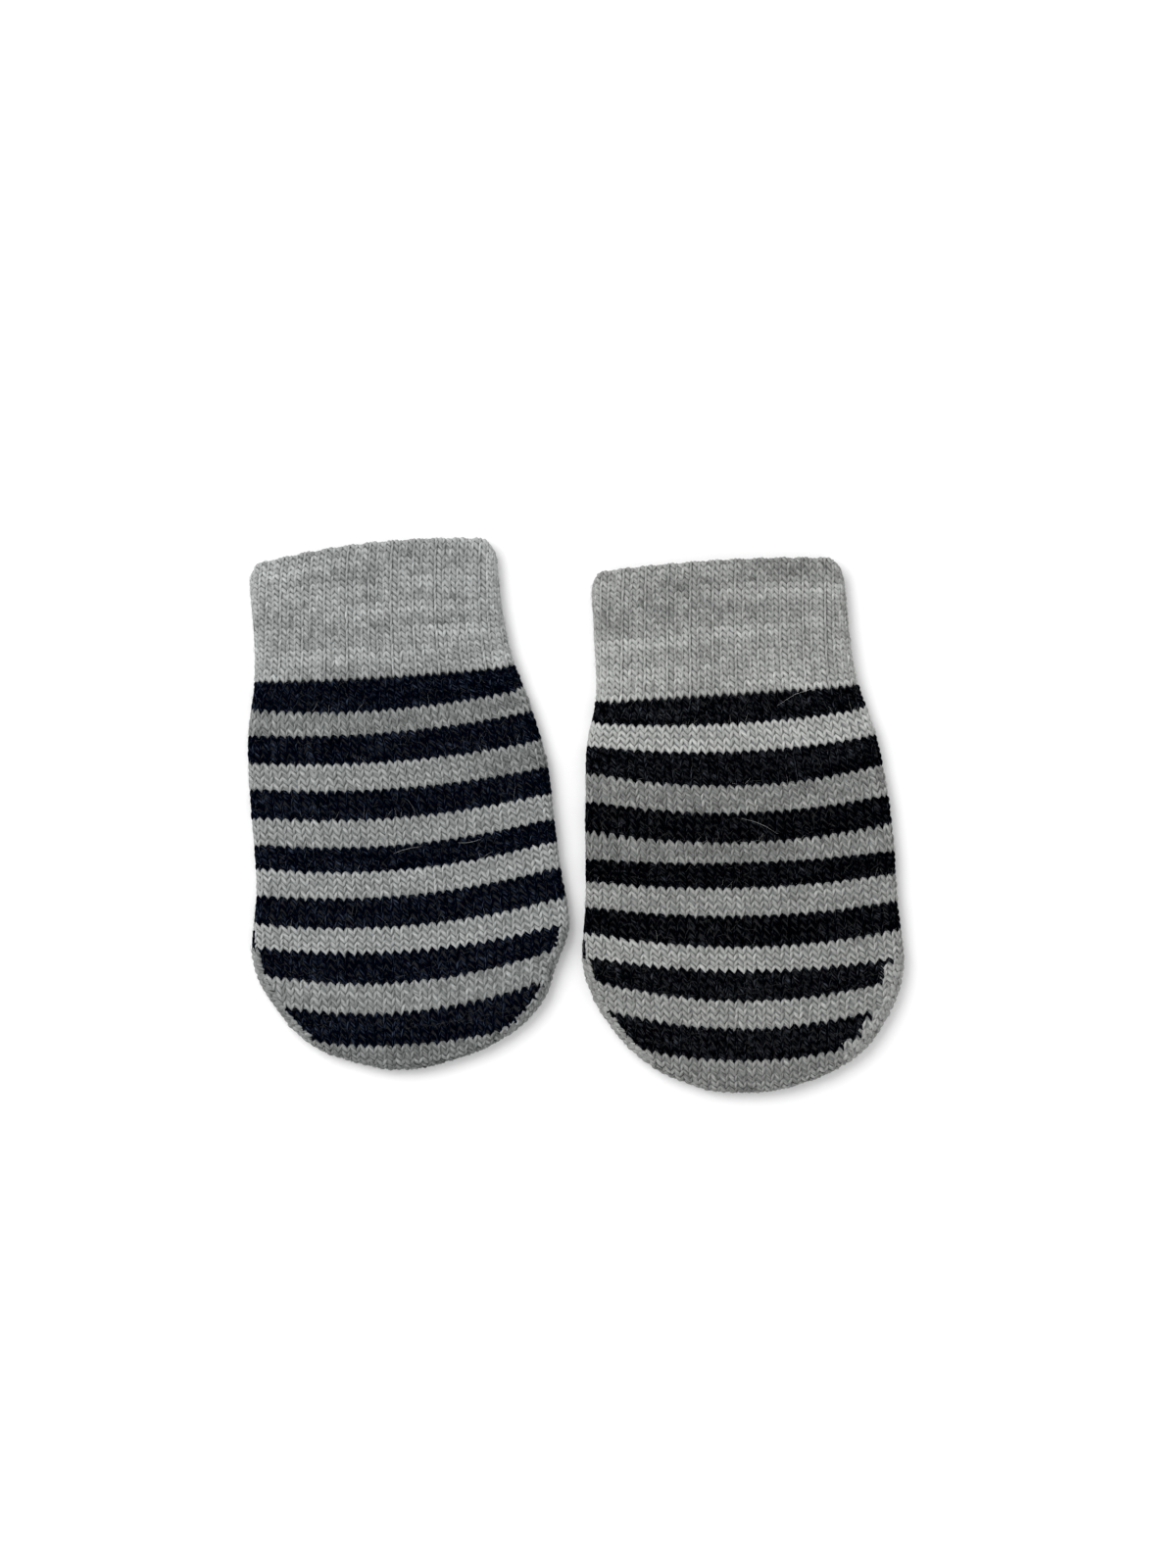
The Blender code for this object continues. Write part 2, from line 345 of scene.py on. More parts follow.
def tube_spot(mitten, station, across, angle, lip=0.0):
    """The spot at a row number, a place across from -1 to 1, and an angle round the section."""
    station, across, angle, lip = np.broadcast_arrays(station, across, angle, lip)
    left, right, left_out, right_out, middle_y, crown = folds(mitten.table, station)
    middle = (left + right) / 2
    flat = 1 - across ** 2
    foot = middle + across[..., None] * (right - left) / 2
    from_fold = (1 - np.abs(across)) * np.linalg.norm(right - left, axis=-1) / 2
    from_fold += EDGE_RADIUS * (1 - np.abs(np.cos(angle)))
    radius = np.where(across < 0, *CORNER_RADII)
    near = np.clip(1 - from_fold / radius, 0, 1)
    fade = np.maximum(1 - station / CORNER_ROWS, 0)
    drop = radius * (1 - np.sqrt(1 - near ** 2)) * fade ** 2
    foot[..., 1] -= (middle[..., 1] - middle_y) * flat + drop
    outward = unit(left_out + (right_out - left_out) * ((across + 1) / 2)[..., None])
    return Spot(foot, outward, angle, crown * flat, lip)


WALES = 72            # stitches round the tube of the hand
QUARTER = EDGE_RADIUS * math.pi / 2   # the way round half a fold


def wale_spot(mitten, station, wale, lip=0.0):
    """The spot a number of wales round, from the left fold over the top and back below."""
    left, right = folds(mitten.table, station)[:2]
    width = np.linalg.norm(right - left, axis=-1)
    turn = np.mod(wale, WALES) / (WALES / 2)
    reach = np.where(turn < 1, turn, 2 - turn) * (width + 2 * QUARTER)
    across = np.clip((reach - QUARTER) / width * 2 - 1, -1, 1)
    before = np.maximum(QUARTER - reach, 0)
    beyond = np.maximum(reach - QUARTER - width, 0)
    angle = math.pi / 2 + (before - beyond) / EDGE_RADIUS
    return tube_spot(mitten, station, across, np.where(turn < 1, angle, -angle), lip)


print(WALES, "wales round,", round(QUARTER, 2), "mm of each layer in a fold")

# %% [markdown]
# ## Stripes
#
# The stripes are charcoal and grey yarn in turn, most of them four courses each. Each row of
# the table ends at a row number of the form, because the cloth is stretched a little more
# in some stripes than in others. The grey is a yarn whose shade wanders as it leaves the
# cone, so each grey stripe has its own tone, from 0 for the darkest wool to 1 for the palest,
# and may drift to another from the middle to the right. At the side folds a charcoal stripe
# can end a little higher than in the middle.

# %% Stripes of each hand
Stripe = namedtuple("Stripe", "yarn courses end rise tone drift", defaults=(0,))
GREY, CHARCOAL = 0, 1

LEFT_STRIPES = [
    Stripe(CHARCOAL, 5, 3.60, 0.10, 0.5),
    Stripe(GREY, 3, 4.00, 0, 0.30, 0.05),
    Stripe(CHARCOAL, 4, 4.52, 0, 0.5),
    Stripe(GREY, 4, 5.00, 0, 0.45, -0.19),
    Stripe(CHARCOAL, 4, 5.51, 0, 0.5),
    Stripe(GREY, 4, 6.00, 0, 0.46),
    Stripe(CHARCOAL, 4, 6.49, 0.02, 0.5),
    Stripe(GREY, 4, 7.00, 0, 0.51),
    Stripe(CHARCOAL, 4, 7.51, 0.03, 0.5),
    Stripe(GREY, 4, 8.00, 0, 0.51),
]
RIGHT_STRIPES = [
    Stripe(CHARCOAL, 4, 3.53, 0.08, 0.5),
    Stripe(GREY, 4, 4.00, 0, 0.64),
    Stripe(CHARCOAL, 5, 4.55, 0.06, 0.5),
    Stripe(GREY, 4, 5.00, 0, 0.32, 0.06),
    Stripe(CHARCOAL, 4, 5.59, 0.12, 0.42),
    Stripe(GREY, 3, 6.00, 0, 0.30, 0.08),
    Stripe(CHARCOAL, 4, 6.48, 0.02, 0.42),
    Stripe(GREY, 4, 7.00, 0, 0.44),
    Stripe(CHARCOAL, 4, 7.53, 0.08, 0.42),
    Stripe(GREY, 4, 8.00, 0, 0.52, -0.08),
]
LEFT_TIP_STRIPES = [
    Stripe(CHARCOAL, 4, 0, 0, 0.5),
    Stripe(GREY, 4, 0, 0, 0.41),
    Stripe(CHARCOAL, 4, 0, 0, 0.5),
    Stripe(GREY, 12, 0, 0, 0.28),
]
RIGHT_TIP_STRIPES = [
    Stripe(CHARCOAL, 4, 0, 0, 0.5),
    Stripe(GREY, 4, 0, 0, 0.45),
    Stripe(CHARCOAL, 4, 0, 0, 0.5),
    Stripe(GREY, 12, 0, 0, 0.36),
]
HAND_COURSES = sum(stripe.courses for stripe in LEFT_STRIPES)
TOE_COURSE = HAND_COURSES + sum(stripe.courses for stripe in LEFT_TIP_STRIPES[:3])
SEAM_DROP = 0.28          # courses that the hand's stitches lie lower than the rows say
SEAM_ROWS = 0.05          # rows by which the cuff's last stitches reach over the hand
CUFF_PACE, TIP_PACE = 8, 5      # courses to a row of the form, before the hand and past it


def hand_station(mitten, course, side=0.0):
    """The row number of the form at a course; side is 0 in the middle and 1 at a side fold."""
    counts = np.cumsum([0] + [stripe.courses for stripe in mitten.stripes])
    ends = [HAND_ROW + SEAM_ROWS] + [stripe.end for stripe in mitten.stripes]
    rises = [0] + [stripe.rise for stripe in mitten.stripes]
    course = course + SEAM_DROP
    past = np.maximum(course - HAND_COURSES, 0) / TIP_PACE
    early = np.minimum(course, 0) / CUFF_PACE
    row = np.interp(course, counts, ends) - side ** 2 * np.interp(course, counts, rises)
    return row + past + early


def of_courses(mitten, field):
    """The yarn, tone or drift of each course, from the cuff to past the toe."""
    stripes = mitten.stripes + mitten.tip_stripes
    counts = [stripe.courses for stripe in stripes]
    return np.repeat([getattr(stripe, field) for stripe in stripes], counts)


def stripe_tone(mitten, course, side):
    """The tone of whole courses; side runs from -1 at the left fold to 1 at the right one."""
    drift = of_courses(mitten, "drift")[course] * np.maximum(side, 0)
    return of_courses(mitten, "tone")[course] + drift


print(HAND_COURSES, "courses in the hand, and", TOE_COURSE - HAND_COURSES, "more to the toe")

# %% [markdown]
# ## The tip
#
# The tip is knitted to and fro, as a sock's toe is. Its wales run straight down the front
# and end at a slanted line at each side. Beyond that line lies the grey cloth of the back,
# which comes round the edge with its wales along the rim. So the tip is mapped as a flat
# panel in plan, which rolls over the rounded rim where it passes the fold's centre line.

# %% The rim of the tip
TipRow = namedtuple("TipRow", "course middle_y slope bow")

LEFT_TIP_ROWS = [
    TipRow(44, -8.2, 0.083, 0.0046),
    TipRow(48, -14.1, 0.089, 0.0049),
    TipRow(52, -20.7, 0.059, 0.0048),
]
RIGHT_TIP_ROWS = [
    TipRow(44, -8.0, 0.000, 0.0044),
    TipRow(48, -13.5, 0.005, 0.0050),
    TipRow(52, -19.9, 0.000, 0.0054),
]
COURSE_PITCH = 1.4        # millimetres from one course to the next round the toe
RIM_SPACING = 0.2         # millimetres between samples of the rim's centre line
SIDE_SAMPLES = 300        # along a side fold
END_SAMPLES = 60          # along the closed end


def rim_line(mitten):
    """The fold's centre line round the tip, left to right, with its outward directions."""
    station = np.linspace(TIP_ROW - 1, TOE_ROW, SIDE_SAMPLES)
    left, right, left_out, right_out = folds(mitten.table, station)[:4]
    end = tube_spot(mitten, float(TOE_ROW), np.linspace(-1, 1, END_SAMPLES), 0.0)
    line = np.concatenate([left, end.foot[1:-1], right[::-1]])
    outward = np.concatenate([left_out, end.outward[1:-1], right_out[::-1]])
    length = np.r_[0, np.cumsum(np.linalg.norm(np.diff(line, axis=0), axis=1))]
    even = np.arange(0, length[-1], RIM_SPACING)
    line = np.stack([np.interp(even, length, line[:, axis]) for axis in (0, 1)], -1)
    outward = np.stack([np.interp(even, length, outward[:, axis]) for axis in (0, 1)], -1)
    return line, unit(outward)


def from_rim(mitten, plan):
    """The nearest place on the rim's centre line, the way out there, and how far out plan is."""
    line, outward = rim_line(mitten)
    flat = plan.reshape(-1, 2)
    nearest = ((flat[:, None] - line[None]) ** 2).sum(-1).argmin(-1)
    way = outward[nearest]
    gap = flat - line[nearest]
    out = (gap * way).sum(-1)
    foot = flat - out[:, None] * way
    shape = plan.shape[:-1]
    return foot.reshape(plan.shape), way.reshape(plan.shape), out.reshape(shape)


print("the toe's line is", TOE_COURSE, "courses from the cuff, at", LEFT_TIP_ROWS[-1].middle_y, "mm")

# %% Rows of the form at a plan point
ROW_STEPS = 8             # steps that find a row number closely enough
ROW_STRIDE = 6            # millimetres of plan for a row, in one step


def row_of(mitten, plan):
    """The row number and the place across of plan points, found by stepping to them."""
    station = np.interp(-plan[..., 1], -mitten.table[:, 2], np.arange(len(mitten.table)))
    across = np.zeros_like(station)
    for _ in range(ROW_STEPS):
        left, right, _, _, middle_y, _ = folds(mitten.table, station)
        middle, half = (left + right) / 2, (right - left) / 2
        across = np.clip((plan[..., 0] - middle[..., 0]) / half[..., 0], -1, 1)
        sag = (middle[..., 1] - middle_y) * (1 - across ** 2)
        error = middle[..., 1] + across * half[..., 1] - sag - plan[..., 1]
        station = np.clip(station + error / ROW_STRIDE, HAND_ROW, TOE_ROW)
    return station, across


def tip_spot(mitten, plan, layer=1):
    """The spot of a plan point of the tip's upper layer, or of its lower one where layer is -1."""
    foot, outward, out = from_rim(mitten, plan)
    inside = out < 0
    turn = math.pi / 2 - np.maximum(out, 0) / EDGE_RADIUS
    past = np.maximum(out - 2 * QUARTER, 0)
    foot = np.where(inside[..., None], plan, foot - past[..., None] * outward)
    angle = layer * np.maximum(turn, -math.pi / 2)
    station, across = row_of(mitten, plan)
    swell = np.where(inside, course_at(mitten.table, station)[..., 5] * (1 - across ** 2), 0)
    return Spot(foot, outward, angle, swell, np.zeros_like(out))


print("a plan point's row is found in", ROW_STEPS, "steps")

# %% Courses of the tip in plan
SEAM_SAMPLES = 41         # across the tip's first course
COURSE_STEPS = 12         # steps that find a course closely enough
TOE_COURSES = 9           # courses that the panel can go on past the toe's line


def tip_plan(mitten, x, course):
    """The plan point of a course of the tip at x."""
    across = np.linspace(-1, 1, SEAM_SAMPLES)
    seam = tube_spot(mitten, float(TIP_ROW), across, math.pi / 2).foot
    first = np.interp(x, seam[:, 0], seam[:, 1])
    rows = mitten.tip_rows
    lines = [first] + [row.middle_y + row.slope * x + row.bow * x * x for row in rows]
    counts = [HAND_COURSES] + [row.course for row in rows]
    past = np.maximum(course - TOE_COURSE, 0) * COURSE_PITCH
    early = np.minimum(course - HAND_COURSES, 0) * COURSE_PITCH
    y = lines[-1] - past
    for start, end, upper, lower in zip(counts, counts[1:], lines, lines[1:]):
        part = (course - start) / (end - start)
        y = np.where((part < 1) & (course >= start), upper + part * (lower - upper), y)
    y = np.where(course < HAND_COURSES, first - early, y)
    return np.stack([x, y], -1)


def tip_course(mitten, plan):
    """The course of the tip at plan points, found by stepping down to their y."""
    course = np.full(plan.shape[:-1], float(HAND_COURSES))
    for _ in range(COURSE_STEPS):
        error = tip_plan(mitten, plan[..., 0], course)[..., 1] - plan[..., 1]
        course = np.clip(course + error / COURSE_PITCH, HAND_COURSES, TOE_COURSE + TOE_COURSES)
    return course


print("and its course in", COURSE_STEPS, "steps, down to course", TOE_COURSE + TOE_COURSES)

# %% [markdown]
# ## The two mittens
#
# Each mitten is drawn about a point low in its palm. Its place in the pair is read from the
# frame: the same rings are worked out here for the hand, and their lowest corner is set on
# the lowest corner of the hand's solid.

# %% Places of the two mittens
SOLID_ARC_STEPS = 5       # how finely the plain solids are cut
SOLID_FLAT_STEPS = 10
SOLID_ROW_STEP = 0.5
SEAM_GAP = 0.3            # between the solids of the hand and the tip


def section(arc_steps, flat_steps):
    """Places across and angles round a section, from the right fold over the top to below."""
    arc = np.linspace(0, math.pi, arc_steps + 1)
    flat = np.linspace(-1, 1, flat_steps + 1)[1:-1]
    up = math.pi / 2
    across = np.concatenate([arc * 0 + 1, -flat, arc * 0 - 1, flat])
    angle = np.concatenate([arc - up, flat * 0 + up, arc + up, flat * 0 - up])
    return across, angle


def place_of(side, table):
    """Where the palm point of a mitten lies in the frame, in millimetres."""
    loose = Mitten(side, table, [], np.zeros(3))
    across, angle = section(SOLID_ARC_STEPS, SOLID_FLAT_STEPS)
    station = np.arange(HAND_ROW, TIP_ROW + SOLID_ROW_STEP, SOLID_ROW_STEP)[:, None]
    points = surface(loose, tube_spot(loose, station, across, angle), np.zeros(1)) / MM
    points[-1, :, 1] += SEAM_GAP / 2
    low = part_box(f"{side}_hand")[0] / MM
    return np.array([low.x - points[..., 0].min(), low.y - points[..., 1].min(), 0.0])


def new_mitten(side, courses, creases, *knitting):
    """A mitten in its place, with what its knitting needs."""
    table = np.array(courses)
    place = place_of(side, table)
    print(side, "palm point at", np.round(place, 2), "mm")
    return Mitten(side, table, creases, place, *knitting)


# How low the slanted lines of the tip reach, left and right, before the toe runs over the rim,
# and how far past the rim's centre line they lie, as the mitten is rolled over a little.
LEFT_GORE_END = (-17.6, -16.4)
LEFT_GORE_OUT = (0.85, 0.70)
RIGHT_GORE_END = (-18.0, -18.0)
RIGHT_GORE_OUT = (0.95, -1.10)

mittens = [
    new_mitten("left", LEFT_COURSES, LEFT_CREASES,
               LEFT_STRIPES, LEFT_TIP_STRIPES, LEFT_TIP_ROWS, LEFT_GORE_END, LEFT_GORE_OUT),
    new_mitten("right", RIGHT_COURSES, RIGHT_CREASES,
               RIGHT_STRIPES, RIGHT_TIP_STRIPES, RIGHT_TIP_ROWS, RIGHT_GORE_END, RIGHT_GORE_OUT),
]

# %% [markdown]
# ## Yarn
#
# The wool is spun from grey fibres of several shades, so its colour drifts along the thread
# and shows fine streaks that turn round it. The charcoal yarn is nearly black with a few
# paler fibres. Both are matt, and the grey has a faint nap. A noise on Object coordinates
# would cut straight through the threads. So the streaks follow the thread's own map, x round
# the thread and y along it, and the shade of each stitch is kept on the mesh.

# %% Nodes that both materials need
def math_node(nodes, links, operation, first, second):
    """A Math node with its two inputs, each a socket or a number."""
    node = nodes.new("ShaderNodeMath")
    node.operation = operation
    for socket, value in zip(node.inputs, (first, second)):
        if isinstance(value, (int, float)):
            socket.default_value = value
        else:
            links.new(value, socket)
    return node.outputs[0]


def add_ramp(nodes, links, shader, shade, dark, pale):
    """Colours the shader from dark to pale, and gives the ramp's stops."""
    ramp = nodes.new("ShaderNodeValToRGB")
    stops = ramp.color_ramp.elements
    stops[0].color = (*dark, 1)
    stops[1].color = (*pale, 1)
    links.new(shade, ramp.inputs["Fac"])
    links.new(ramp.outputs["Color"], shader.inputs["Base Color"])
    return stops


def add_bump(nodes, links, shader, height, strength, distance):
    """Roughens the shader's surface by a height, over a distance in millimetres."""
    bump = nodes.new("ShaderNodeBump")
    bump.inputs["Strength"].default_value = strength
    bump.inputs["Distance"].default_value = distance * MM
    links.new(height, bump.inputs["Height"])
    links.new(bump.outputs["Normal"], shader.inputs["Normal"])


print("materials so far:", [material.name for material in bpy.data.materials])

# %% Yarn materials
FIBRE_SCALE = (3.2, 0.60)     # how fine the streaks are, round and along the thread, a millimetre
PLY_TWIST = -0.4              # millimetres round the thread for a millimetre along it
YARN_ROUGHNESS = 0.92
NAP_ROUGHNESS = 0.5
YARN_BUMP = 0.12              # millimetres

YarnLook = namedtuple("YarnLook", "dark middle pale middle_at streak_spread sheen specular bump")
COLD_GREY = YarnLook((0.019, 0.020, 0.020), (0.302, 0.313, 0.309), (0.585, 0.606, 0.597),
                     0.5, 1.05, 0.1, 0.1, 0.6)
WARM_GREY = YarnLook((0.019, 0.020, 0.019), (0.307, 0.313, 0.303), (0.595, 0.606, 0.586),
                     0.5, 1.05, 0.1, 0.1, 0.6)
COLD_BLACK = YarnLook((0.0001, 0.0002, 0.0010), (0.0002, 0.0008, 0.0038), (0.046, 0.064, 0.100),
                      0.58, 1.7, 0, 0, 0.35)
WARM_BLACK = YarnLook((0.0002, 0.0002, 0.0005), (0.0004, 0.0006, 0.0015), (0.058, 0.065, 0.080),
                      0.58, 1.8, 0, 0, 0.35)


def add_yarn(name, look):
    """A yarn whose shade comes from the mesh, with streaks and a bump that turn round it."""
    material, nodes, links, shader = new_material(name, YARN_ROUGHNESS)
    shader.inputs["Sheen Weight"].default_value = look.sheen
    shader.inputs["Sheen Roughness"].default_value = NAP_ROUGHNESS
    shader.inputs["Specular IOR Level"].default_value = look.specular
    thread = nodes.new("ShaderNodeUVMap")
    thread.uv_map = "thread"
    parts = nodes.new("ShaderNodeSeparateXYZ")
    links.new(thread.outputs["UV"], parts.inputs["Vector"])
    turned = math_node(nodes, links, "MULTIPLY", parts.outputs["Y"], PLY_TWIST)
    around = math_node(nodes, links, "ADD", parts.outputs["X"], turned)
    place = nodes.new("ShaderNodeCombineXYZ")
    links.new(math_node(nodes, links, "MULTIPLY", around, FIBRE_SCALE[0]), place.inputs["X"])
    links.new(math_node(nodes, links, "MULTIPLY", parts.outputs["Y"], FIBRE_SCALE[1]), place.inputs["Y"])
    streaks = nodes.new("ShaderNodeTexNoise")
    streaks.inputs["Scale"].default_value = 1
    streaks.inputs["Detail"].default_value = 2
    links.new(place.outputs["Vector"], streaks.inputs["Vector"])

    shade = nodes.new("ShaderNodeAttribute")
    shade.attribute_name = "shade"
    centred = math_node(nodes, links, "SUBTRACT", streaks.outputs["Fac"], 0.5)
    spread = math_node(nodes, links, "MULTIPLY", centred, look.streak_spread)
    mixed = math_node(nodes, links, "ADD", shade.outputs["Fac"], spread)
    stops = add_ramp(nodes, links, shader, mixed, look.dark, look.pale)
    stops.new(look.middle_at).color = (*look.middle, 1)
    add_bump(nodes, links, shader, streaks.outputs["Fac"], look.bump, YARN_BUMP)
    return material


yarn_materials = {
    "left": [add_yarn("cold_grey_yarn", COLD_GREY), add_yarn("cold_charcoal_yarn", COLD_BLACK)],
    "right": [add_yarn("warm_grey_yarn", WARM_GREY), add_yarn("warm_charcoal_yarn", WARM_BLACK)],
}
print("yarns:", [yarn.name for pair in yarn_materials.values() for yarn in pair])

# %% Grounds
GROUND_ROUGHNESS = 0.95
GROUND_MOTTLE = 900           # patches to a metre
GROUND_BUMP = 0.10            # millimetres


def add_ground(name, dark, pale):
    """The cloth under the stitches, which shows only in the gaps; its grey is darker than the grey yarn,
    as painted shade there.
    """
    material, nodes, links, shader = new_material(name, GROUND_ROUGHNESS)
    place = nodes.new("ShaderNodeTexCoord")
    mottle = nodes.new("ShaderNodeTexNoise")
    mottle.inputs["Scale"].default_value = GROUND_MOTTLE
    links.new(place.outputs["Object"], mottle.inputs["Vector"])
    add_ramp(nodes, links, shader, mottle.outputs["Fac"], dark, pale)
    add_bump(nodes, links, shader, mottle.outputs["Fac"], 1, GROUND_BUMP)
    return material


ground_materials = [
    # Painted shade: the grey ground is darker than the grey yarn, so that the gaps between the stitches
    # read as shadow.
    add_ground("grey_ground_painted_shade", (0.17, 0.18, 0.18), (0.29, 0.31, 0.30)),
    add_ground("charcoal_ground", (0.0010, 0.0012, 0.0020), (0.0060, 0.0070, 0.0100)),
]
print("grounds:", [ground.name for ground in ground_materials])

# %% [markdown]
# ## The cloth under the stitches
#
# The stitches lie on a thin closed shell that holds the mitten's shape and closes the gaps
# between them. Each part has its own: the cuff's is rolled over at the top edge, the hand's
# is a sleeve, and the tip's is a pocket. A flat sheet with Solidify would do for a plain
# sleeve, but not for a turned edge or a closed toe. So each is a grid of rings that goes down
# the outside and back up the inside, joined to a closed wall. Every face also gets a tile of
# a flat lattice, in which its colour can be baked.

# %% Closed walls from grids
TILE_EDGE = 0.06          # of a tile's side that stays free all round
MERGE_DISTANCE = 1e-7     # metres, between corners that are one


def add_piece(name, mesh):
    """An object for a mesh, at the origin."""
    piece = bpy.data.objects.new(name, mesh)
    bpy.context.scene.collection.objects.link(piece)
    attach(piece, BODY)
    return piece


def grid_faces(points, yarns, wrap):
    """Corners and yarns of the faces of a grid of points; wrap closes its columns."""
    if wrap:
        points = np.concatenate([points, points[:, :1]], 1)
    corners = np.stack([points[:-1, :-1], points[:-1, 1:], points[1:, 1:], points[1:, :-1]], 2)
    count = corners.shape[0] * corners.shape[1]
    return corners.reshape(count, 4, 3), np.broadcast_to(yarns, corners.shape[:2]).reshape(count)


def in_tiles(places):
    """Lays out flat places, from 0 to 1 for each tile, in a square lattice of tiles."""
    side = math.ceil(math.sqrt(len(places)))
    number = np.arange(len(places))
    corner = np.stack([number % side, number // side], -1)[:, None]
    return (corner + TILE_EDGE + (1 - 2 * TILE_EDGE) * places) / side


def set_map(mesh, name, places):
    """Gives the mesh a map with one place for each face corner."""
    layer = mesh.uv_layers.new(name=name)
    layer.uv.foreach_set("vector", np.asarray(places, np.float32).ravel())


def add_shell(name, patches):
    """Joins patches of faces to one closed wall that faces outwards."""
    corners = np.concatenate([patch[0] for patch in patches])
    yarns = np.concatenate([patch[1] for patch in patches])
    faces = np.arange(len(corners) * 4).reshape(-1, 4)
    mesh = bpy.data.meshes.new(name)
    mesh.from_pydata(corners.reshape(-1, 3).tolist(), [], faces.tolist())
    mesh.polygons.foreach_set("material_index", yarns.astype(np.int32))
    square = np.array([(0, 0), (1, 0), (1, 1), (0, 1)])
    set_map(mesh, "OFBake", in_tiles(np.broadcast_to(square, (len(corners), 4, 2))))
    wall = bmesh.new()
    wall.from_mesh(mesh)
    bmesh.ops.remove_doubles(wall, verts=wall.verts, dist=MERGE_DISTANCE)
    bmesh.ops.recalc_face_normals(wall, faces=wall.faces)
    wall.to_mesh(mesh)
    wall.free()
    mesh.shade_smooth()
    for material in ground_materials:
        mesh.materials.append(material)
    return add_piece(name, mesh)


print("the first of four tiles begins at", np.round(in_tiles(np.zeros((4, 1, 2)))[0, 0], 3))

# %% Shells of cloth
GROUND_DEPTH = 0.66       # how far the shell's face lies under the outermost yarn
ARC_STEPS = 6
FLAT_STEPS = 26
LIP_STEPS = 6
CUFF_RINGS = 19
TIP_RINGS = 41
CUFF_GAP = 0.01           # rows between the cuff's shell and the hand's
HAND_ENDS = (0.02, 0.10)  # courses that the hand's shell stays clear of the cuff's and the tip's
TIP_START = 0.02          # rows that the tip's shell starts past the hand's solid
UPPER_FACES = (1, 2.2)    # angles between which the tip's shell has the front's stripes
WEDGE = 3.2               # courses of the back's last grey stripe that turn charcoal at the left fold


def cuff_shell(mitten):
    """Up the outside, over the lip, and down the inside, as the welt is turned."""
    across, angle = section(ARC_STEPS, FLAT_STEPS)
    up = np.linspace(HAND_ROW + SEAM_ROWS - CUFF_GAP, CUFF_ROW, CUFF_RINGS)
    over = np.linspace(0, math.pi, LIP_STEPS + 1)
    station = np.concatenate([up, 0 * over[1:-1], up[::-1], up[:1]])
    lip = np.concatenate([0 * up, over[1:-1], 0 * up + math.pi, [0]])
    spot = tube_spot(mitten, station[:, None], across, angle, lip[:, None])
    outer = surface(mitten, spot, np.full(1, GROUND_DEPTH))
    inner = surface(mitten, spot, np.zeros(1))
    points = np.where((lip == math.pi)[:, None, None], inner, outer)
    return add_shell(f"{mitten.side}_cuff_cloth", [grid_faces(points, GREY, True)])


def hand_yarn(mitten, course, back=0.0):
    """The hand's yarn; back runs from 0, over the whole front, to 1 at the back's left end."""
    yarn = of_courses(mitten, "yarn")[course]
    return np.where(course >= HAND_COURSES - WEDGE * back ** 3, CHARCOAL, yarn)


def hand_shell(mitten):
    """A sleeve with one ring a course, so that each course has its own yarn."""
    across, angle = section(ARC_STEPS, FLAT_STEPS)
    course = np.arange(HAND_COURSES + 1.0)
    course[0] += HAND_ENDS[0] - SEAM_DROP
    course[-1] -= HAND_ENDS[1] + SEAM_DROP
    station = hand_station(mitten, course[:, None], across)
    spot = tube_spot(mitten, station, across, angle)
    outer = surface(mitten, spot, np.full(1, GROUND_DEPTH))
    inner = surface(mitten, spot, np.full(1, CLOTH))
    below = (angle < 0) | (angle > math.pi)
    yarns = hand_yarn(mitten, np.arange(HAND_COURSES)[:, None], np.where(below, (1 - across) / 2, 0))
    rings = np.concatenate([outer, inner[::-1], outer[:1]])
    rows = np.concatenate([yarns, yarns[-1:], yarns[::-1], yarns[:1]])
    return add_shell(f"{mitten.side}_hand_cloth", [grid_faces(rings, rows, True)])


def tip_shell(mitten):
    """A pocket: rings down to the toe, and a rounded end that joins the two layers."""
    across, angle = section(ARC_STEPS, FLAT_STEPS)
    station = np.linspace(TIP_ROW + TIP_START, TOE_ROW, TIP_RINGS)
    middle = (station[1:] + station[:-1]) / 2
    plan = tube_spot(mitten, middle[:, None], across, math.pi / 2).foot
    course = tip_course(mitten, plan).astype(int)
    inside = from_rim(mitten, plan)[2] < np.where(across < 0, *mitten.gore_out)
    upper = (angle > UPPER_FACES[0]) & (angle < UPPER_FACES[1]) & inside
    yarns = np.where(upper, of_courses(mitten, "yarn")[course], GREY)
    toe_across = np.linspace(-1, 1, FLAT_STEPS + 1)
    toe_angle = np.linspace(-math.pi / 2, math.pi / 2, ARC_STEPS + 1)
    patches, rims = [], []
    for depth in (GROUND_DEPTH, CLOTH):
        spot = tube_spot(mitten, station[:, None], across, angle)
        rings = surface(mitten, spot, np.full(1, depth))
        patches.append(grid_faces(rings, yarns, True))
        rims.append(rings[0])
        end = tube_spot(mitten, float(TOE_ROW), toe_across[:, None], toe_angle)
        patches.append(grid_faces(surface(mitten, end, np.full(1, depth)), GREY, False))
    patches.append(grid_faces(np.stack(rims), GREY, True))
    return add_shell(f"{mitten.side}_tip_cloth", patches)


shells = {}
for mitten in mittens:
    shells[mitten.side] = [cuff_shell(mitten), hand_shell(mitten), tip_shell(mitten)]
    for shell in shells[mitten.side]:
        print(shell.name, len(shell.data.polygons), "faces")

# %% [markdown]
# ## One stitch
#
# Seen from its right side, a knit stitch is two legs of yarn. They come up side by side
# through the stitch before, spread apart, and dive behind the next row. Here the work was
# knitted from the cuff down, so the legs spread downwards. The right leg lies aslant and
# shows as a bright stroke, and the left one stands nearly upright. In the cuff the left legs
# of every third wale stand edge on and line up as a thin pale ridge, and the right legs of
# another sink a little. A whole loop could be modelled, but what is behind the cloth is never
# seen. So each leg is a short thread, given by five points, and thinner where it dives.

# %% The legs of a stitch
LegPoint = namedtuple("LegPoint", "across along rise thickness")

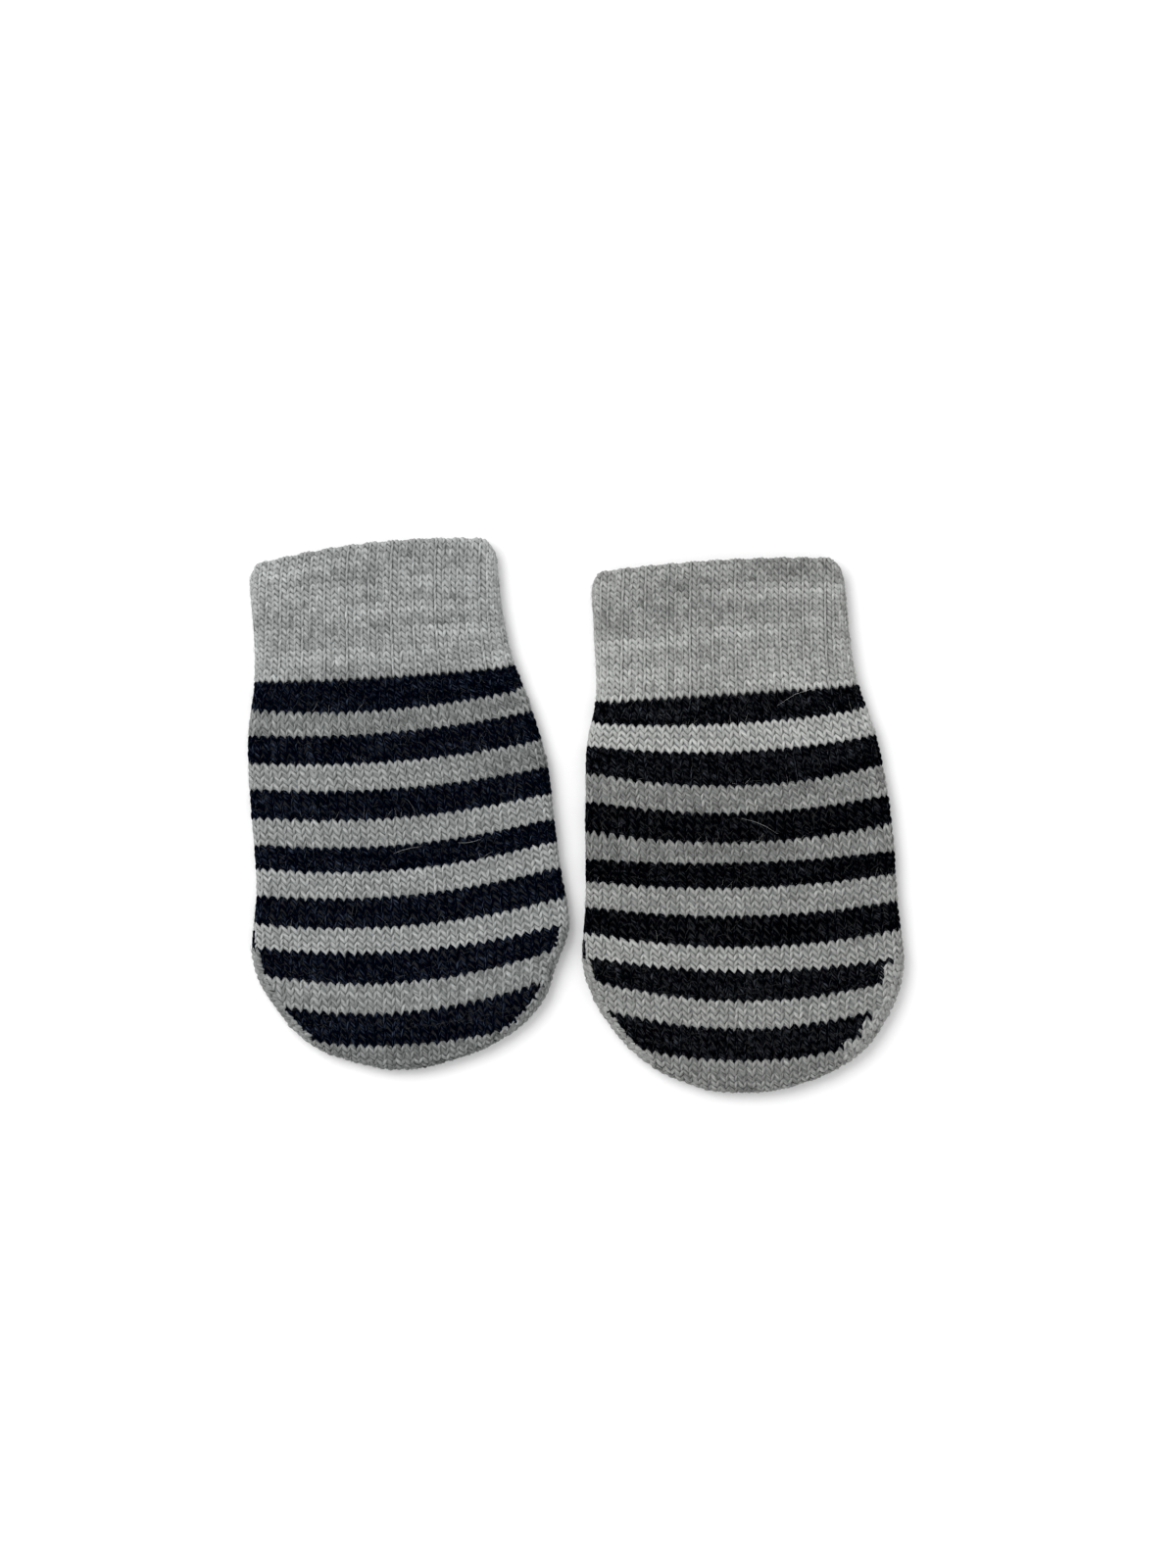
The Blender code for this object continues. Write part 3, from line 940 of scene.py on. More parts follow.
RIGHT_LEG = np.array([
    LegPoint(-0.08, -0.06, -0.12, 0.34),
    LegPoint(0.05, 0.26, 0.10, 0.92),
    LegPoint(0.25, 0.58, 0.12, 1.05),
    LegPoint(0.42, 0.92, 0.00, 0.90),
    LegPoint(0.52, 1.32, -0.26, 0.40),
])
LEFT_LEG = np.array([
    LegPoint(-0.08, -0.06, -0.16, 0.34),
    LegPoint(-0.22, 0.24, 0.02, 0.86),
    LegPoint(-0.35, 0.58, 0.02, 0.92),
    LegPoint(-0.43, 0.96, -0.06, 0.80),
    LegPoint(-0.50, 1.40, -0.28, 0.40),
])
UPRIGHT_LEG = np.array([
    LegPoint(-0.30, -0.16, -0.02, 0.50),
    LegPoint(-0.38, 0.18, 0.16, 0.56),
    LegPoint(-0.41, 0.56, 0.19, 0.60),
    LegPoint(-0.43, 0.94, 0.15, 0.56),
    LegPoint(-0.46, 1.32, -0.08, 0.44),
])
LEG_DEPTH = 0.46          # millimetres from the outermost yarn to a leg's centre line
LEG_WIDTH = 0.44          # of the distance from wale to wale
LEG_HEIGHT = 0.70         # millimetres, the thickness of a leg through the cloth
UNEVEN = 0.050            # how far a hand-fed yarn strays, of the distance between stitches
RIDGE_HIGHLIGHT = 0.04         # how much paler the leg of a ridge is painted: a painted highlight on its raised edge
print("a leg is", LEG_HEIGHT, "mm thick, and its centre lies", LEG_DEPTH, "mm deep")

# %% [markdown]
# ## Threads
#
# A leg of yarn is a round thread with closed ends. A bevelled curve would do for a few, but
# there are over 20,000, and each needs its own shade, and its own place in the map of the
# streaks, so that no two are alike. So the rings round all the threads of a piece are worked
# out at once, and joined as one mesh. A thread has only four or five sides, with a flat
# below, and smooth shading rounds it.

# %% Rings round threads
TABLE_GAP = 0.01          # millimetres that the lowest threads keep above the table
NORMAL_STEP = 0.1         # millimetres to either side, for the way out of the cloth


def normals_at(mitten, spot, depth):
    """The way out of the cloth at each spot."""
    above = surface(mitten, spot, depth - NORMAL_STEP)
    return unit(above - surface(mitten, spot, depth + NORMAL_STEP))


def thread_profile(sides):
    """Directions round a thread, with a flat below, where it isn't seen."""
    below = math.pi / sides
    turn = -math.pi / 2 + below + np.arange(sides) * 2 * math.pi / sides
    return np.cos(turn), np.sin(turn)


def sweep(points, normals, half_width, half_height, sides):
    """Rings along each thread, none below the table: threads, stations along it, sides round it."""
    along = unit(np.gradient(points, axis=1))
    beside = unit(np.cross(along, normals))
    above = np.cross(beside, along)
    cosine, sine = thread_profile(sides)
    beside = half_width[..., None, None] * cosine[:, None] * beside[:, :, None]
    above = half_height[..., None, None] * sine[:, None] * above[:, :, None]
    rings = points[:, :, None] + beside + above
    rings[..., 2] = np.maximum(rings[..., 2], TABLE_GAP * MM)
    return rings


corners = np.degrees(np.arctan2(*thread_profile(5)[::-1]))
print("corners of a thread with five sides:", np.round(corners), "degrees")

# %% One mesh of many threads
THREAD_GIRTH = 2.2        # millimetres round a thread, in its map
MAP_REACH = 400           # millimetres over which the threads' maps are spread
WALL_WIDTH = 0.78         # of its tile, the unrolled wall of a thread
CAP_RADIUS = 0.09
CAP_MIDDLES = ((0.90, 0.2), (0.90, 0.7))


def thread_tiles(count, turns, rows, sides):
    """Tiles for the walls of threads, unrolled, with both end caps beside them."""
    wall = np.stack(np.broadcast_arrays(turns * WALL_WIDTH, rows), -1).reshape(-1, 2)
    circle = np.linspace(0, 2 * math.pi, sides, endpoint=False)
    cap = CAP_RADIUS * np.stack([np.cos(circle), np.sin(circle)], -1)
    tile = np.concatenate([wall, *[cap + middle for middle in CAP_MIDDLES]])
    tiles = in_tiles(np.broadcast_to(tile, (count, *tile.shape)))
    parts = np.split(tiles, [len(wall), len(wall) + sides], 1)
    return np.concatenate([part.reshape(-1, 2) for part in parts])


def add_threads(name, rings, shade, yarn, random):
    """One mesh of many short closed threads, with their maps, shades and yarns."""
    count, stations, sides = rings.shape[:3]
    first = np.arange(count)[:, None, None] * stations * sides
    row = np.arange(stations - 1)[None, :, None] * sides
    side = np.arange(sides)[None, None]
    after = (side + 1) % sides
    quads = np.stack([first + row + side, first + row + after,
                      first + row + sides + after, first + row + sides + side], -1)
    start = first[:, 0] + np.arange(sides)[None, ::-1]
    end = first[:, 0] + (stations - 1) * sides + np.arange(sides)[None]
    faces = quads.reshape(-1, 4).tolist() + start.tolist() + end.tolist()
    mesh = bpy.data.meshes.new(name)
    mesh.from_pydata(rings.reshape(-1, 3).tolist(), [], faces)

    lengths = np.linalg.norm(np.diff(rings.mean(2), axis=1), axis=-1) / MM
    reach = np.concatenate([np.zeros((count, 1)), np.cumsum(lengths, 1)], 1)
    reach = reach + random.uniform(0, MAP_REACH, (count, 1))
    girth = np.linspace(0, THREAD_GIRTH, sides + 1) + random.uniform(0, MAP_REACH, (count, 1))
    corner_row = np.array([0, 0, 1, 1])
    corner_side = np.array([0, 1, 1, 0])
    rows = np.arange(stations - 1)[:, None, None] + corner_row
    turns = np.arange(sides)[None, :, None] + corner_side
    thread = np.stack(np.broadcast_arrays(girth[:, turns], reach[:, rows]), -1)
    caps = np.stack(np.broadcast_arrays(girth[:, :1], reach[:, :1]), -1).repeat(sides, 1)
    set_map(mesh, "thread", np.concatenate([part.reshape(-1, 2) for part in (thread, caps, caps)]))
    set_map(mesh, "OFBake", thread_tiles(count, turns / sides, rows / (stations - 1), sides))

    tone = mesh.attributes.new("shade", "FLOAT", "POINT")
    tone.data.foreach_set("value", np.repeat(shade, stations * sides).astype(np.float32))
    index = np.concatenate([np.repeat(yarn, (stations - 1) * sides), yarn, yarn])
    mesh.polygons.foreach_set("material_index", index.astype(np.int32))
    for material in yarn_materials[name.split("_")[0]]:
        mesh.materials.append(material)
    mesh.shade_smooth()
    return add_piece(name, mesh)


print("the map gives a thread", THREAD_GIRTH, "mm round and the wall", WALL_WIDTH, "of a tile")

# %% [markdown]
# ## Laying the stitches
#
# A field of stitches is a list of counts: the wale and the course of each stitch, and how
# far its neighbours are. A rule, which differs for the cuff, the hand and the tip, turns
# counts into spots. Each leg strays a little, as yarn does, and drifts in shade along the
# course, because it is one thread from stitch to stitch.

# %% Fields of stitches
Field = namedtuple("Field", "wale course gap shade yarn ridge sunk")
TOP_SIDES, UNDER_SIDES = 5, 4
UNDER_POINTS = [0, 1, 3, 4]   # the points of a leg that are kept on the lower layer
UNDER_DEPTH = 0.42        # the lower legs keep this far up from the table
UNDER_MARGIN = 0.04       # and this much of it free below their thickness
DRIFT_SHARE, OWN_SHARE = 0.8, 0.5   # of a shade's spread
THICKNESS_SPREAD = 0.07   # of a leg's thickness
DEPTH_SPREAD = 0.04       # millimetres
LEG_TONES = np.array([0.045, 0.02])   # how far single legs stray in shade, in grey and in charcoal
LAYERS = ("top", "under")


def heather(random, courses, wales, spread, reach, rows=0):
    """How much paler stitches are: a slow drift over reach and rows, and a little of their own."""
    own = random.normal(size=(courses, wales))
    drift = random.normal(size=(courses + 2 * rows, wales + 2 * reach))
    for axis, half in ((1, reach), (0, rows)):
        window = np.hanning(2 * half + 3)[1:-1]
        window /= np.sqrt((window ** 2).sum())
        drift = np.apply_along_axis(np.convolve, axis, drift, window, "valid")
    return spread * (DRIFT_SHARE * drift + OWN_SHARE * own)


def new_field(wale, course, gap, shade, yarn, ridge=0.0, sunk=0.0):
    """A field of stitches; sunk is how many millimetres deeper the right legs lie."""
    columns = np.broadcast_arrays(wale, course, gap, shade, yarn, ridge, sunk)
    return Field(*[column.ravel() for column in columns])


def lay_stitches(name, mitten, field, spot_of, pitch, random, under=False):
    """Threads for both legs of every stitch of a field."""
    sides = UNDER_SIDES if under else TOP_SIDES
    left_leg = LEFT_LEG + field.ridge[:, None, None] * (UPRIGHT_LEG - LEFT_LEG)
    legs = []
    for shape, sunk in ((left_leg, 0 * field.sunk), (RIGHT_LEG[None], field.sunk)):
        if under:
            shape = shape[:, UNDER_POINTS]
        stray = random.normal(0, UNEVEN, (len(field.wale), 2, 2))
        ends = np.linspace(0, 1, shape.shape[1])
        shift = stray[:, :, :1] * (1 - ends) + stray[:, :, 1:] * ends
        across = shape[..., 0] + shift[:, 0]
        wale = field.wale[:, None] + across * field.gap[:, None]
        course = field.course[:, None] + shape[..., 1] + shift[:, 1]
        full = random.normal(1, THICKNESS_SPREAD, (len(field.wale), 1))
        raised = random.normal(0, DEPTH_SPREAD, (len(field.wale), 1))
        depth = LEG_DEPTH - shape[..., 2] - raised + sunk[:, None]
        width = LEG_WIDTH / 2 * pitch * shape[..., 3] * full
        height = LEG_HEIGHT / 2 * np.sqrt(shape[..., 3]) * full
        if under:
            depth = np.maximum(depth, UNDER_DEPTH)
            height = np.minimum(height, UNDER_DEPTH - UNDER_MARGIN)
        spot = spot_of(wale, course)
        points = surface(mitten, spot, depth)
        legs.append(sweep(points, normals_at(mitten, spot, depth), width * MM, height * MM, sides))
    rings = np.concatenate(legs)
    yarn = np.concatenate([field.yarn, field.yarn])
    # Painted highlight: the legs of a ridge get a paler shade, for the light that their raised edges
    # catch.
    shade = np.concatenate([field.shade + RIDGE_HIGHLIGHT * field.ridge, field.shade])
    shade = shade + random.normal(0, LEG_TONES[yarn])
    return add_threads(name, rings, shade, yarn, random)


def pick(field, keep):
    """The stitches of a field for which keep is true."""
    return Field(*[column[keep] for column in field])


def join(fields):
    """The stitches of several fields as one."""
    return Field(*[np.concatenate(columns) for columns in zip(*fields)])


print("a leg above has", TOP_SIDES, "sides, and one below has", UNDER_SIDES)

# %% [markdown]
# ## Stitches of the hand
#
# The hand is plain knitting, with the same number of wales all the way down. Its first course
# hangs in the cuff's last one, so there it has the cuff's wales. A bump map would be lighter,
# but real stitches throw shadows and give the stripes their toothed edges. The left fold is
# rolled under a little, so that the back is hidden. Only beside the last grey stripe does the
# back show, with a wedge of charcoal that begins there.

# %% Wales of the cuff, from which the hand hangs
CuffWale = namedtuple("CuffWale", "place width ridge sunk")
CUFF_WALES = [
    CuffWale(0.50, 0.86, 0.15, 0.00),
    CuffWale(1.56, 0.92, 0.80, 0.00),
    CuffWale(2.62, 0.96, 0.20, 0.10),
]


def cuff_wales(first, last):
    """The cuff's wales from one place to another: the three of the table, round and round."""
    groups = np.arange(first, last, len(CUFF_WALES))[:, None]
    columns = [np.broadcast_to(column, (len(groups), len(CUFF_WALES))) for column in zip(*CUFF_WALES)]
    cuff = CuffWale(*columns)
    return CuffWale(*[column.ravel() for column in cuff._replace(place=cuff.place + groups)])


print(len(cuff_wales(0, WALES).place), "wales round the cuff, in groups of", len(CUFF_WALES))

# %% Stitches of the hand
WALE_START = 1.5          # the first wale's place, which leaves the back's last wale on the left fold
HAND_PITCH = 1.66         # millimetres from wale to wale
HEATHER = (0.03, 3)       # how far shades drift, and the wales on either side that drift along
SPARE_COURSES = 12        # of shades, drawn past the hand's end
TUCK = 0.8                # wales by which the left fold is rolled under
TUCK_REACH = 14           # wales from the fold that are pulled along
TUCK_END = HAND_COURSES - 2   # the course at which the fold has come out again
TUCK_FADES = (2, 2.2)     # courses over which the tuck begins and ends


def hand_field(mitten, shades, under):
    """The hand's stitches, on the upper or the lower layer."""
    half = WALES // 2
    number = np.arange(half) + half * under
    wale, course = np.meshgrid(number + WALE_START, np.arange(1 - under, HAND_COURSES))
    side = (wale - half * under) / (half / 2) - 1
    shade = shades[course, np.broadcast_to(number, course.shape)]
    shade += stripe_tone(mitten, course, -side if under else side)
    yarn = hand_yarn(mitten, course, wale / half - 1 if under else 0)
    field = new_field(wale, course.astype(float), 1.0, shade, yarn)
    if under:
        return field
    cuff = cuff_wales(0, half)
    shade = 0.5 + np.interp(cuff.place, number, shades[0, :half])
    first = new_field(cuff.place, 0.0, cuff.width, shade, CHARCOAL)
    return join([first, field])


def tucked(wale, course):
    """The place of a wale once the fold is rolled under, from the cuff to the last grey stripe."""
    from_fold = np.abs(np.mod(wale + WALES / 2, WALES) - WALES / 2)
    before_end = np.clip((TUCK_END - course) / TUCK_FADES[1], 0, 1) ** 2
    strength = before_end * np.clip(course / TUCK_FADES[0], 0, 1)
    return wale - TUCK * strength * np.clip(1 - from_fold / TUCK_REACH, 0, 1)


def lay_hand(mitten, random):
    """The hand's stitches, upper and lower."""
    shades = heather(random, HAND_COURSES + SPARE_COURSES, WALES, *HEATHER)

    def upper_spot(wale, course):
        side = wale / (WALES / 4) - 1
        return wale_spot(mitten, hand_station(mitten, course, side), tucked(wale, course))

    def lower_spot(wale, course):
        return wale_spot(mitten, hand_station(mitten, course, 1.0), tucked(wale, course))

    pieces = []
    for under, spot_of in ((False, upper_spot), (True, lower_spot)):
        name = f"{mitten.side}_hand_stitches_{LAYERS[under]}"
        field = hand_field(mitten, shades, under)
        pieces.append(lay_stitches(name, mitten, field, spot_of, HAND_PITCH, random, under))
    return pieces


print("the back's wedge of charcoal is", WEDGE, "courses wide at the left fold")

# %% [markdown]
# ## Stitches of the cuff
#
# The welt is knitted in groups of three wales, and looks like a faint rib. Its courses are
# counted down from the top edge, so those below zero roll over the lip and a little way in,
# and nothing is knitted where it can't be seen. The welt lies turned on the hand, so its
# wales lean. The lip dips a hair between two groups of wales, as the rib draws it in.

# %% Stitches of the cuff
CUFF_COURSES = 21
LIP_COURSES = 2.4         # courses that roll over the lip
INSIDE_COURSES = 3        # courses that are laid from the top edge inwards
CUFF_YARN = 1.80          # the cuff's yarn is as thick as where wales are this far apart
CUFF_LEAN = {"left": 1.5, "right": 1.2}   # wales by which the top edge lies turned to the right
# Paler at both sides: partly painted light, where light wraps round the folds and the lamp falls from
# the left, and partly the yarn's own mottle.
CUFF_TONES_AND_LIGHT = {"left": (0.55, 0.46, 0.52), "right": (0.51, 0.48, 0.54)}   # left, middle, right
CUFF_FADES = {"left": -0.02, "right": 0.10}   # how much paler the cuff gets from the lip to the seam
CUFF_HEATHER = (0.070, 8, 1)  # as for the hand, with the courses on either side
RIDGE_STRENGTHS = (0.2, 1.05)
SCALLOP = 0.09            # half of what the lip dips between two groups of wales, in millimetres
SCALLOP_PEAK = 1.4        # where in a group of wales it doesn't dip
SCALLOP_REACH = 3         # courses over which the dip fades out
CUFF_SAMPLES = 200        # down the middle of the cuff


def lay_cuff(mitten, random):
    """The cuff's stitches: outside, over the lip, and a little way in."""
    top_y, seam_y = course_at(mitten.table, np.array([CUFF_ROW, HAND_ROW + SEAM_ROWS]))[:, 2]
    pitch = (top_y - seam_y) / CUFF_COURSES
    rows = np.linspace(CUFF_ROW, HAND_ROW + 0.5, CUFF_SAMPLES)
    heights = course_at(mitten.table, rows)[:, 2]

    def cuff_spot(wale, course):
        over = np.clip(-course / LIP_COURSES, 0, 1)
        inside = np.maximum(-course - LIP_COURSES, 0)
        y = top_y - pitch * (np.maximum(course, 0) + inside)
        station = np.interp(-y, -heights, rows)
        leaning = CUFF_LEAN[mitten.side] * np.clip(1 - course / CUFF_COURSES, 0, 1)
        spot = wale_spot(mitten, station, wale + leaning, over * math.pi)
        dip = SCALLOP * (1 - np.cos(2 * math.pi * (wale - SCALLOP_PEAK) / len(CUFF_WALES)))
        spot.foot[..., 1] -= dip * np.exp(-(np.maximum(course, 0) / SCALLOP_REACH) ** 2)
        return spot

    courses = np.arange(-INSIDE_COURSES, CUFF_COURSES)
    shades = heather(random, len(courses), WALES, *CUFF_HEATHER)
    # the yarn's tone across the cuff, with painted light at its sides
    tones = np.interp(np.linspace(-1, 1, WALES // 2), (-1, 0, 1), CUFF_TONES_AND_LIGHT[mitten.side])
    shades += np.concatenate([tones, tones[::-1]])
    shades += CUFF_FADES[mitten.side] * (courses / CUFF_COURSES - 0.5)[:, None]
    strength = random.uniform(*RIDGE_STRENGTHS, WALES)
    half = WALES // 2
    pieces = []
    for under in (False, True):
        cuff = cuff_wales(half * under, half + half * under)
        number = np.arange(half) + half * under
        wale, course = np.meshgrid(cuff.place, courses.astype(float))
        ridge = cuff.ridge * strength[number]
        field = new_field(wale, course, cuff.width, shades[:, number], GREY, ridge, cuff.sunk)
        name = f"{mitten.side}_cuff_stitches_{LAYERS[under]}"
        pieces.append(lay_stitches(name, mitten, field, cuff_spot, CUFF_YARN, random, under))
    return pieces


print(CUFF_COURSES, "courses outside the cuff, and", INSIDE_COURSES, "over the lip")

# %% [markdown]
# ## Stitches of the tip
#
# Three fields of stitches meet at the tip. The front panel carries the stripes on from the
# hand and ends at the slanted lines. The grey rim comes round from the back in five wales
# that run along the edge. The back is a plain grey panel, closed by a looped seam behind
# the toe. The places of the panels are counted in plan, and those of the rim along its own
# centre line, because each follows the way its wales run on the real tip.

# %% Panels of the tip
TIP_NARROWING = 0.03      # how much closer the wales are at the toe
PANEL_REACH = 0.25        # millimetres past the rim's centre line at which the front's wales end
STEP_REACH = 0.6          # the first course of a charcoal stripe goes this much further
LOWER_REACH = 0.35        # and so does the second charcoal stripe
TOE_REACH = 5.6           # how far the toe's courses run round the rim
UNDER_REACH = (0.65, 1.9)   # how far the back's wales reach out, at the sides and at the toe
SECOND_STRIPE = HAND_COURSES + 8   # the course at which the tip's second charcoal stripe begins


def past_gore(mitten, foot):
    """True where the toe's courses, and not the band, run over the rim."""
    ends = np.where(foot[..., 0] < 0, mitten.gore_end[0], mitten.gore_end[1])
    return foot[..., 1] < ends


def panel_end(mitten, hand):
    """How far past the rim's centre line the front panel goes, on the side of each hand."""
    return np.maximum(np.where(hand < 0, *mitten.gore_out), PANEL_REACH)


def tip_wales(mitten):
    """Where the hand's wales come down to the tip, in plan, and the distance between them."""
    left, right = folds(mitten.table, float(TIP_ROW))[:2]
    pitch = (np.linalg.norm(right - left) + 2 * QUARTER) / (WALES / 2)
    return left[0] - QUARTER + pitch * (np.arange(WALES // 2) + WALE_START), pitch


def narrowed(mitten, x, course):
    """Where a wale that comes down at x has got to at a course, as the tip narrows."""
    centre = tip_wales(mitten)[0].mean()
    part = np.clip((course - HAND_COURSES) / (TOE_COURSE - HAND_COURSES), 0, 1)
    return centre + (x - centre) * (1 - TIP_NARROWING * part)


def panel_field(mitten, shades, under):
    """Stitches of the tip's front panel with the toe, or of the plain grey back panel."""
    places, pitch = tip_wales(mitten)
    courses = np.arange(HAND_COURSES, TOE_COURSE + TOE_COURSES)
    x, course = np.meshgrid(places, courses)
    plan = tip_plan(mitten, narrowed(mitten, x, course), course + 0.5)
    foot, _, out = from_rim(mitten, plan)
    at_toe = past_gore(mitten, foot)
    shade = shades[:len(courses), :len(places)]
    if under:
        reach = np.where(at_toe, UNDER_REACH[1], UNDER_REACH[0])
        yarn = np.full(x.shape, GREY)
        shade = shade + mitten.tip_stripes[-1].tone
    else:
        first = np.isin(course, (HAND_COURSES, SECOND_STRIPE))
        further = STEP_REACH * first + LOWER_REACH * (course >= SECOND_STRIPE)
        reach = panel_end(mitten, foot[..., 0]) + further
        reach = np.where(at_toe & (course >= TOE_COURSE), TOE_REACH, reach)
        past = out > np.where(foot[..., 0] < 0, *mitten.gore_out) + further
        yarn = np.where(past, GREY, of_courses(mitten, "yarn")[course])
        shade = shade + stripe_tone(mitten, course, 0)
    field = new_field(x, course.astype(float), pitch, shade, yarn)
    return pick(field, (out < reach).ravel())


for mitten in mittens:
    print(mitten.side, "tip: wales", round(tip_wales(mitten)[1], 2), "mm apart")

# %% Rim and seam of the tip
BAND_GAP = 0.65           # from the front's last wale to the first one of the rim
BAND_END = 6.5            # the last of the rim's wales, millimetres past the centre line
BAND_WALES = 5
BAND_COURSE = 1.15        # millimetres from stitch to stitch along the rim
BAND_SHADES = (30, 10)    # the course and the wale from which the rims take their shades
TOE_SEAM = 5.8            # how far round the rim the looped seam lies
SEAM_PITCH = 1.4
SEAM_SHADES = 29
# Painted light: the rims are painted paler than the toe, for light that wraps round their edges, most on
# the right mitten's right rim, which the lamp leaves darker.
RIM_LIGHT = {"left": (0.04, 0.04), "right": (0.04, 0.10)}   # how much paler the rims are painted than the toe, as painted light


def band_field(mitten, line, hand, numbers, shades):
    """Stitches of the rim's band on one side: wale is how far out, course how far along."""
    on_side = (line[:, 0] < 0) if hand < 0 else (line[:, 0] > 0)
    seam_y = folds(mitten.table, float(TIP_ROW))[0 if hand < 0 else 1][1]
    index = np.flatnonzero(on_side & (line[:, 1] < seam_y) & ~past_gore(mitten, line))
    start = float(panel_end(mitten, hand)) + BAND_GAP
    pitch = (BAND_END - start) / (BAND_WALES - 1)
    out = start + pitch * np.array(numbers)
    first, last = index[0] * RIM_SPACING, index[-1] * RIM_SPACING
    along = np.linspace(first, last, int(round((last - first) / BAND_COURSE)))
    wale, course = np.meshgrid(out * hand, along / BAND_COURSE)
    # the rim's band is painted paler: painted light
    tone = mitten.tip_stripes[-1].tone + RIM_LIGHT[mitten.side][hand > 0]
    first_course, first_wale = BAND_SHADES
    shade = tone + shades[first_course:first_course + len(along), first_wale:first_wale + len(out)]
    return new_field(wale, course, pitch, shade, GREY)


def seam_field(mitten, line, shades):
    """The looped seam, one chain of stitches from gore to gore behind the toe."""
    index = np.flatnonzero(past_gore(mitten, line))
    first, last = index[0] * RIM_SPACING, index[-1] * RIM_SPACING
    course = np.arange(first, last, BAND_COURSE) / BAND_COURSE
    shade = mitten.tip_stripes[-1].tone + shades[SEAM_SHADES, :len(course)]
    return new_field(-TOE_SEAM, course, SEAM_PITCH, shade, GREY)


def band_spot(line, outward, out, along):
    """The spot a distance out from the rim's centre line, at a distance along it."""
    hand = np.sign(out[:, :1])
    start = along[:, :1]
    length = (start + (along - start) * -hand) * BAND_COURSE
    place = np.clip(length / RIM_SPACING, 0, len(line) - 1)
    index = np.arange(len(line))
    foot = np.stack([np.interp(place, index, line[:, axis]) for axis in (0, 1)], -1)
    way = unit(np.stack([np.interp(place, index, outward[:, axis]) for axis in (0, 1)], -1))
    angle = math.pi / 2 - np.abs(out) / EDGE_RADIUS
    return Spot(foot, way, angle, np.zeros_like(angle), np.zeros_like(angle))


print(BAND_WALES, "wales in each rim, the last one", BAND_END, "mm round")

# %% The whole tip
TIP_PITCH = 1.75          # millimetres from wale to wale, about
RIM_YARN = 2.2            # the rim's yarn is as thick as where wales are this far apart
TIP_SHADES = 60           # courses of shades, for the panels, the rims and the seam


def lay_tip(mitten, random):
    """The tip's stitches: the front panel with the toe, the back, the rim's bands and the seam."""
    shades = heather(random, TIP_SHADES, WALES, *HEATHER)
    line, outward = rim_line(mitten)

    def front_spot(x, course):
        return tip_spot(mitten, tip_plan(mitten, narrowed(mitten, x, course), course))

    def back_spot(x, course):
        return tip_spot(mitten, tip_plan(mitten, narrowed(mitten, x, course), course), -1)

    def rim_spot(out, along):
        return band_spot(line, outward, out, along)

    def rim_field(numbers):
        return join([band_field(mitten, line, hand, numbers, shades) for hand in (-1, 1)])

    plans = (
        ("tip_stitches_top", panel_field(mitten, shades, False), front_spot, TIP_PITCH),
        ("tip_stitches_under", panel_field(mitten, shades, True), back_spot, TIP_PITCH),
        ("rim_stitches_top", rim_field((0, 1, 2)), rim_spot, RIM_YARN),
        ("rim_stitches_under", rim_field((3, 4)), rim_spot, RIM_YARN),
        ("toe_seam_under", seam_field(mitten, line, shades), rim_spot, SEAM_PITCH),
    )
    return [lay_stitches(f"{mitten.side}_{name}", mitten, *plan, random, name.endswith("under"))
            for name, *plan in plans]


print("the tip's yarn is as thick as where wales are", TIP_PITCH, "mm apart")

# %% [markdown]
# ## Loose fibres
#
# Wool is hairy: single fibres stand out of the yarn all over and blur the edges of the
# stripes. Hair particles could make them, but not as a mesh that keeps its shape anywhere. So
# they are fine curved threads, some paler than the charcoal wool that they lie on and some
# darker than the grey. A few long pale hairs have been shed on the cloth. Their ends are
# given in the mitten's own plan, in millimetres, with how far they bow.

# %% Fibres and hairs
FIBRE_COUNT = 1500
FIBRE_TAPER = np.array([0.6, 1.0, 0.9, 0.4])   # of its width, at the steps along it
FIBRE_STEPS = len(FIBRE_TAPER)
FIBRE_SIDES = 3
FIBRE_ROWS = (CUFF_ROW + 0.2, TIP_ROW + 3)
FIBRE_EDGE = 1.5          # wales past the folds in which they still grow
FIBRE_WIDTH = 0.035       # millimetres
FIBRE_LENGTHS = (0.8, 2.4)
FIBRE_TURN = (-0.9, 0.7)  # radians, the way most of them lie, as the yarn's twist leads, and the spread
FIBRE_CURL = 0.9          # how unevenly they curl
FIBRE_BEND = 0.4          # of its length, what a curl of 1 turns the end aside
FIBRE_DEPTH = 0.12        # millimetres under the outermost yarn at which they root
FIBRE_LIFTS = (0.02, 0.28)    # millimetres that their middles stand up from there
FIBRE_ARCH = 0.7          # below 1, they rise quickly and stay up
HAIR_WIDTH = 0.05
HAIR_DEPTH = -0.03        # just over the outermost yarn
HAIR_TONE = 0.9
ROW_LENGTH = 9.0          # millimetres from one row of the form to the next, about
FibreTone = namedtuple("FibreTone", "low high")
FIBRES_ON_GREY = FibreTone(0.25, 0.80)
FIBRES_ON_CHARCOAL = FibreTone(0.01, 0.12)

Hair = namedtuple("Hair", "start end bow")
HAIRS = {
    "left": [Hair((-2.6, 17.2), (3.1, 18.6), 0.3), Hair((10.3, 19.3), (15.0, 20.1), -0.3)],
    "right": [Hair((6.8, 49.9), (18.5, 53.6), 1.4), Hair((-0.4, 28.1), (6.8, 25.0), 0.5)],
}


def thin_threads(name, mitten, spot, depth, width, shade, random):
    """Fine closed threads through spots on the cloth, all of grey wool of several shades."""
    points = surface(mitten, spot, depth)
    half = width / 2 * MM * np.broadcast_to(FIBRE_TAPER, depth.shape)
    rings = sweep(points, normals_at(mitten, spot, depth), half, half, FIBRE_SIDES)
    return add_threads(name, rings, shade, np.full(len(points), GREY), random)


